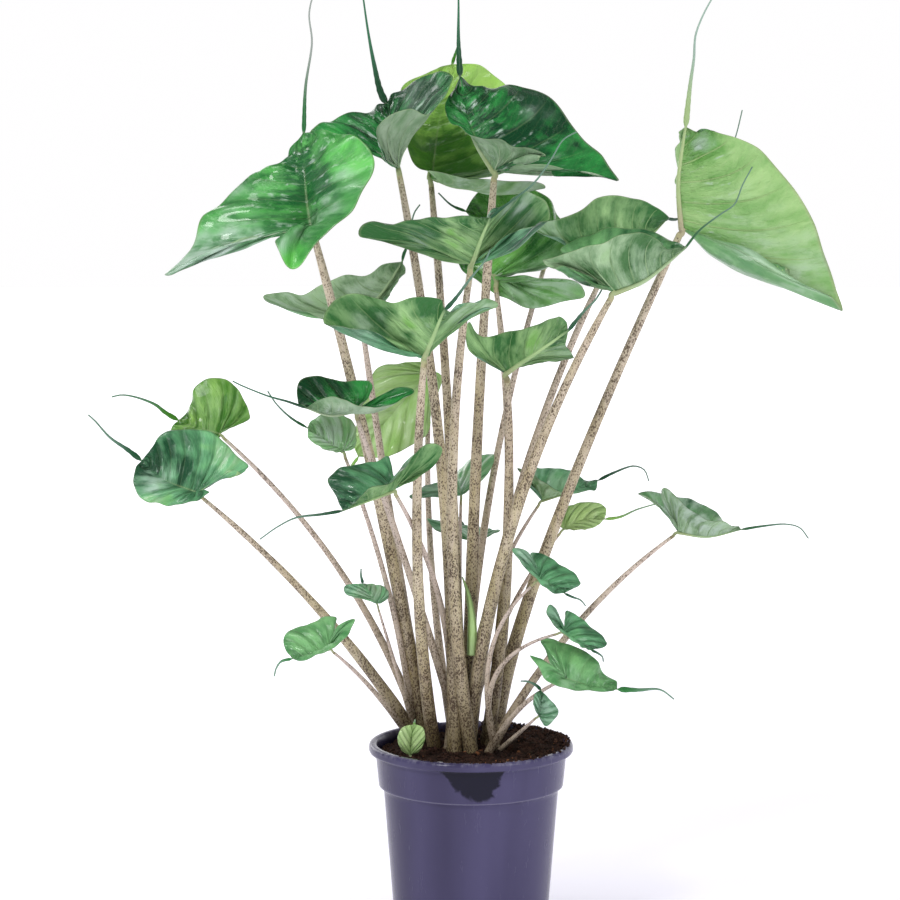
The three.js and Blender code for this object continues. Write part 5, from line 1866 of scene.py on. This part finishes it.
        joint=(-77, -108, 472), foot=(-24, 14), bow=(22, 46, 0), girth=(4.5, 2), arch=0.06,
        light_and_shade=((-50, 5, 20, -0.6), (34, 36, 24, -0.3)),
        tail_band=2,
        rib=((-23, -2, -9), (-49, -5, -19)),
        tail=((-71, -6, -23), (-94, -6, -26), (-112, -4, -35), (-130, 0, -48)),
        left=(
            (-40, -20, -12), (-34, -30, -6), (-18, -38, 7), (1, -35, 12), (12, -28, 26), (25, -22, 43),
            (41, -18, 48), (48, -12, 42), (42, -6, 27), (25, -2, 13), (11, 0, 6),
        ),
        right=(
            (-58, 5, -2), (-64, 12, 8), (-57, 20, 17), (-42, 26, 21), (-20, 28, 24), (-6, 26, 30),
            (-5, 15, 13),
        ),
    ),
    Leaf(
        "blade_left_bud", "stalks_left", Look.COOL,
        joint=(-96, -20, 347), foot=(-55, 46), bow=(0, 0, 0), girth=(3.2, 1.1), arch=0.07,
        light_and_shade=((-10, 12, 20, 0.85),),
        sheens=((-10, 12, 30, 0.6),),
        rib=((-8, 0, 11), (-14, 2, 20)),
        tail=((-16, 4, 28), (-16, 5, 35)),
        left=((-23, 8, 19), (-33, 10, 16), (-32, 2, 10), (-17, -4, 6)),
        right=((-5, 12, 18), (7, 18, 14), (12, 12, 6), (7, 4, 1)),
    ),
    Leaf(
        "blade_low_left", "stalks_left", Look.FRESH,
        joint=(-142, -70, 309), foot=(-60, 40), bow=(0, 0, 8), girth=(3.5, 1.3), arch=0.08,
        light_and_shade=((-10, 10, 24, 0.5), (-36, 4, 12, 0.4)),
        rib=((-19, 0, -5), (-37, 2, -10)),
        tail=((-48, 2, -13), (-53, 2, -20), (-55, 2, -28)),
        left=(
            (-28, -8, -11), (-10, -18, -2), (6, -22, 5), (17, -22, 16), (24, -20, 26), (26, -18, 33),
            (15, -12, 29), (5, -6, 18),
        ),
        right=(
            (-44, 8, 0), (-46, 16, 8), (-40, 24, 15), (-22, 30, 20), (-8, 32, 26), (6, 30, 27),
            (3, 18, 16),
        ),
    ),
    Leaf(
        "blade_far_right", "stalks_right_outer", Look.GREY,
        joint=(210, -20, 420), foot=(19, -2), bow=(-10, 0, 15), girth=(5.5, 1.8), arch=0.06,
        tail_band=3,
        light_and_shade=((10, 8, 22, 0.4), (40, 4, 16, 0.6), (15, 24, 10, -0.5), (-20, 30, 20, 0.3)),
        sheens=((-10, 26, 24, 0.7), (30, 6, 24, 0.7)),
        rib=((29, -2, -4), (63, 0, 3)),
        tail=((85, 0, 6), (109, 0, 8), (123, 2, 4), (132, 4, -7)),
        left=(
            (53, 15, 6), (46, 28, 11), (31, 38, 23), (15, 42, 29), (-11, 42, 34), (-38, 35, 37),
            (-23, 22, 30), (-11, 10, 16),
        ),
        right=(
            (56, -12, 9), (34, -25, 14), (15, -32, 21), (0, -35, 34), (-20, -35, 47), (-18, -25, 33),
            (-9, -12, 16),
        ),
    ),
    Leaf(
        "blade_right_slim", "stalks_back", Look.COOL,
        joint=(76, 90, 440), foot=(-4, 56), bow=(-20, 0, 8), girth=(4, 1.6), arch=0.05,
        light_and_shade=((20, 16, 24, 0.6),),
        tail_band=2.2,
        sheens=((0, 20, 50, 0.4),),
        rib=((29, 2, 9), (59, 4, 21)),
        tail=((76, 4, 29), (97, 4, 36), (108, 4, 32), (113, 4, 20)),
        left=(
            (46, 16, 21), (30, 26, 30), (7, 28, 31), (-7, 22, 33), (-18, 14, 36), (-10, 8, 23),
            (-2, 2, 11),
        ),
        right=(
            (55, -8, 13), (28, -18, 9), (7, -24, 16), (-8, -24, 27), (-27, -20, 36), (-16, -14, 21),
            (-5, -6, 10),
        ),
    ),
    Leaf(
        "blade_right_young", "stalks_back", Look.YOUNG,
        joint=(98, 70, 412), foot=(-2, 50), bow=(-14, 0, 10), girth=(3.5, 1.4), arch=0.08,
        light_and_shade=((20, 12, 26, 0.8),),
        rib=((19, 2, 9), (43, 4, 10)),
        tail=((59, 4, 12), (77, 4, 20), (97, 4, 26)),
        left=((45, 12, 21), (33, 18, 26), (12, 20, 24), (-5, 16, 18), (-10, 8, 9), (-5, 2, 3)),
        right=((35, -6, 4), (22, -12, 1), (8, -10, 0)),
    ),
    Leaf(
        "blade_right_folded", "stalks_right_outer", Look.COOL,
        joint=(67, -50, 375), foot=(28, -2), bow=(-28, 0, 14), girth=(3.5, 1.3), arch=0.05,
        light_and_shade=((0, 6, 16, 0.3),),
        sheens=((-12, 26, 12, 0.5),),
        rib=((12, -4, -4), (26, -6, -12)),
        tail=((34, -6, -16), (42, -6, -19), (47, -5, -25)),
        left=(
            (36, 3, -8), (43, 8, -4), (37, 16, 5), (21, 22, 14), (6, 24, 24), (-7, 20, 25),
            (-4, 10, 11),
        ),
        right=(
            (14, -14, -11), (4, -20, -3), (-9, -22, 10), (-22, -20, 25), (-26, -16, 34), (-14, -10, 32),
            (-3, -4, 16),
        ),
    ),
    Leaf(
        "blade_right_small", "stalks_right_outer", Look.COOL,
        joint=(92, -55, 323), foot=(26, 3), bow=(-33, 0, 20), girth=(3.5, 1.3), arch=0.05,
        light_and_shade=((12, -4, 20, 0.5),),
        sheens=((-6, 20, 10, 0.4),),
        rib=((13, -3, -8), (28, -4, -17)),
        tail=((34, -4, -20), (39, -3, -24), (40, -2, -29)),
        left=((42, 4, -15), (44, 10, -11), (30, 18, 2), (16, 22, 13), (4, 20, 19), (2, 10, 11)),
        right=(
            (17, -14, -12), (4, -20, -2), (-11, -22, 11), (-18, -20, 23), (-15, -16, 31), (-8, -12, 26),
            (-2, -6, 13),
        ),
    ),
    Leaf(
        "blade_low_right", "stalks_right_outer", Look.FRESH,
        joint=(94, -70, 279), foot=(20, -6), bow=(-8, 0, 8), girth=(3.5, 1.5), arch=0.08,
        tail_band=4.4,
        light_and_shade=((10, 14, 20, 0.6), (44, -8, 16, 0.3)),
        sheens=((0, -6, 12, 0.3),),
        rib=((24, -2, -7), (51, -2, -10)),
        tail=((72, -2, -11), (94, 0, -11), (108, 2, -21)),
        left=(
            (50, 8, -3), (39, 14, 2), (29, 24, 18), (8, 30, 28), (-9, 32, 33), (-24, 30, 34),
            (-18, 18, 21), (-14, 8, 10),
        ),
        right=(
            (43, -10, -11), (23, -20, -8), (-1, -24, -6), (-19, -22, 2), (-31, -18, 17), (-37, -14, 25),
            (-25, -10, 20), (-11, -4, 8),
        ),
    ),
    Leaf(
        "blade_right_bud", "stalks_right_outer", Look.COOL,
        joint=(67, -75, 243), foot=(27, -4), bow=(0, 0, 0), girth=(3, 1.2), arch=0.05,
        light_and_shade=((8, 6, 14, 0.2),),
        sheens=((8, 6, 20, 0.5),),
        rib=((2, 0, 12), (2, 2, 25)),
        tail=((-2, 4, 29), (-11, 6, 33), (-18, 8, 33)),
        left=((-4, -6, 23), (-6, -10, 14), (-3, -8, 5)),
        right=((10, -6, 18), (19, -10, 7), (17, -12, 1), (7, -10, -9)),
    ),
    Leaf(
        "blade_back_small", "stalks_back", Look.COOL,
        joint=(-10, 66, 448), foot=(-9, 58), bow=(-2, 0, 0), girth=(3.5, 1.5), arch=0.06,
        light_and_shade=((15, 22, 34, 0.9),),
        sheens=((-10, 12, 50, 0.6),),
        rib=((-3, 20, 9), (-6, 40, 13)),
        tail=((-10, 55, 18), (-14, 75, 23)),
        left=((-20, 35, 9), (-39, 15, 8), (-54, -5, -2), (-35, -12, 0), (-14, -8, 0)),
        right=((-1, 40, 24), (15, 25, 38), (35, 8, 41), (30, -5, 25), (10, -6, 7)),
    ),
    Leaf(
        "blade_back_low", "stalks_back", Look.COOL,
        joint=(0, 100, 396), foot=(-5, 60), bow=(2, 0, 0), girth=(3.5, 1.5), arch=0.06,
        light_and_shade=((0, 8, 30, 0.5),),
        sheens=((0, 8, 40, 0.6),),
        rib=((-3, 23, 7), (-7, 43, 11)),
        tail=((-10, 60, 14), (-14, 75, 17)),
        left=((-21, 35, 10), (-32, 20, 15), (-46, 5, 23), (-39, -7, 14), (-21, -7, 5)),
        right=((9, 37, 9), (22, 20, 9), (32, 3, 9), (19, -7, 4)),
    ),
)

SPROUT = Leaf(
    "sprout_left", "", Look.YOUNG,
    joint=(-62, -30, 193), girth=(1.8, 1.8), arch=0.12,
    rib=((1, 2, 16), (4, 3, 31)),
    tail=((5, 2, 36),),
    left=((-8, -4, 29), (-13, -6, 18), (-9, -4, 6)),
    right=((13, -4, 29), (15, -7, 17), (9, -4, 5)),
    light_and_shade=((0, 16, 40, 0.34),),
)

# How far below its joint the sprout's neck starts, in the soil
SPROUT_DEPTH = 12

SHOOT = Shoot(
    "shoot_middle", Look.YOUNG,
    path=((0, -6, 292), (1, -9, 325), (-3, -8, 355), (-9, -6, 372)),
    radii=(5, 5.5, 3.2, 0.8),
)


def place_piece(piece: bpy.types.Object, node: str) -> None:
    """Fixes a piece to the part in place of a solid.

    Args:
        piece: The piece.
        node: The solid's node.
    """
    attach(piece, BODY)
    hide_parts(node)
    log.info("%s: %d faces in place of %s", piece.name, len(piece.data.polygons), node)


def main() -> None:
    """Builds the stage and every piece."""
    logging.basicConfig(level=logging.INFO, format="%(name)s: %(message)s")
    noise.seed_set(NOISE_SEED)
    Studio().build()
    pot, soil, stalk = PotFinish(), SoilFinish(), StalkFinish()
    place_piece(Pot().build(pot), "pot")
    place_piece(Soil().build(soil), "soil")
    for plant in dict.fromkeys(leaf.plant for leaf in LEAVES):
        group = tuple(leaf for leaf in LEAVES if leaf.plant == plant)
        place_piece(Stalks(plant, group).build(stalk), plant)
    for leaf in LEAVES:
        neck_end = leaf.stalk([leaf.share_below(leaf.neck)])[0]
        place_piece(Blade(leaf, neck_end).build(), leaf.name)
    buried = np.add(SPROUT.joint, (0, 0, -SPROUT_DEPTH))
    place_piece(Blade(SPROUT, buried).build(), SPROUT.name)
    place_piece(SHOOT.build(), SHOOT.name)


if __name__ == "__main__":
    main()
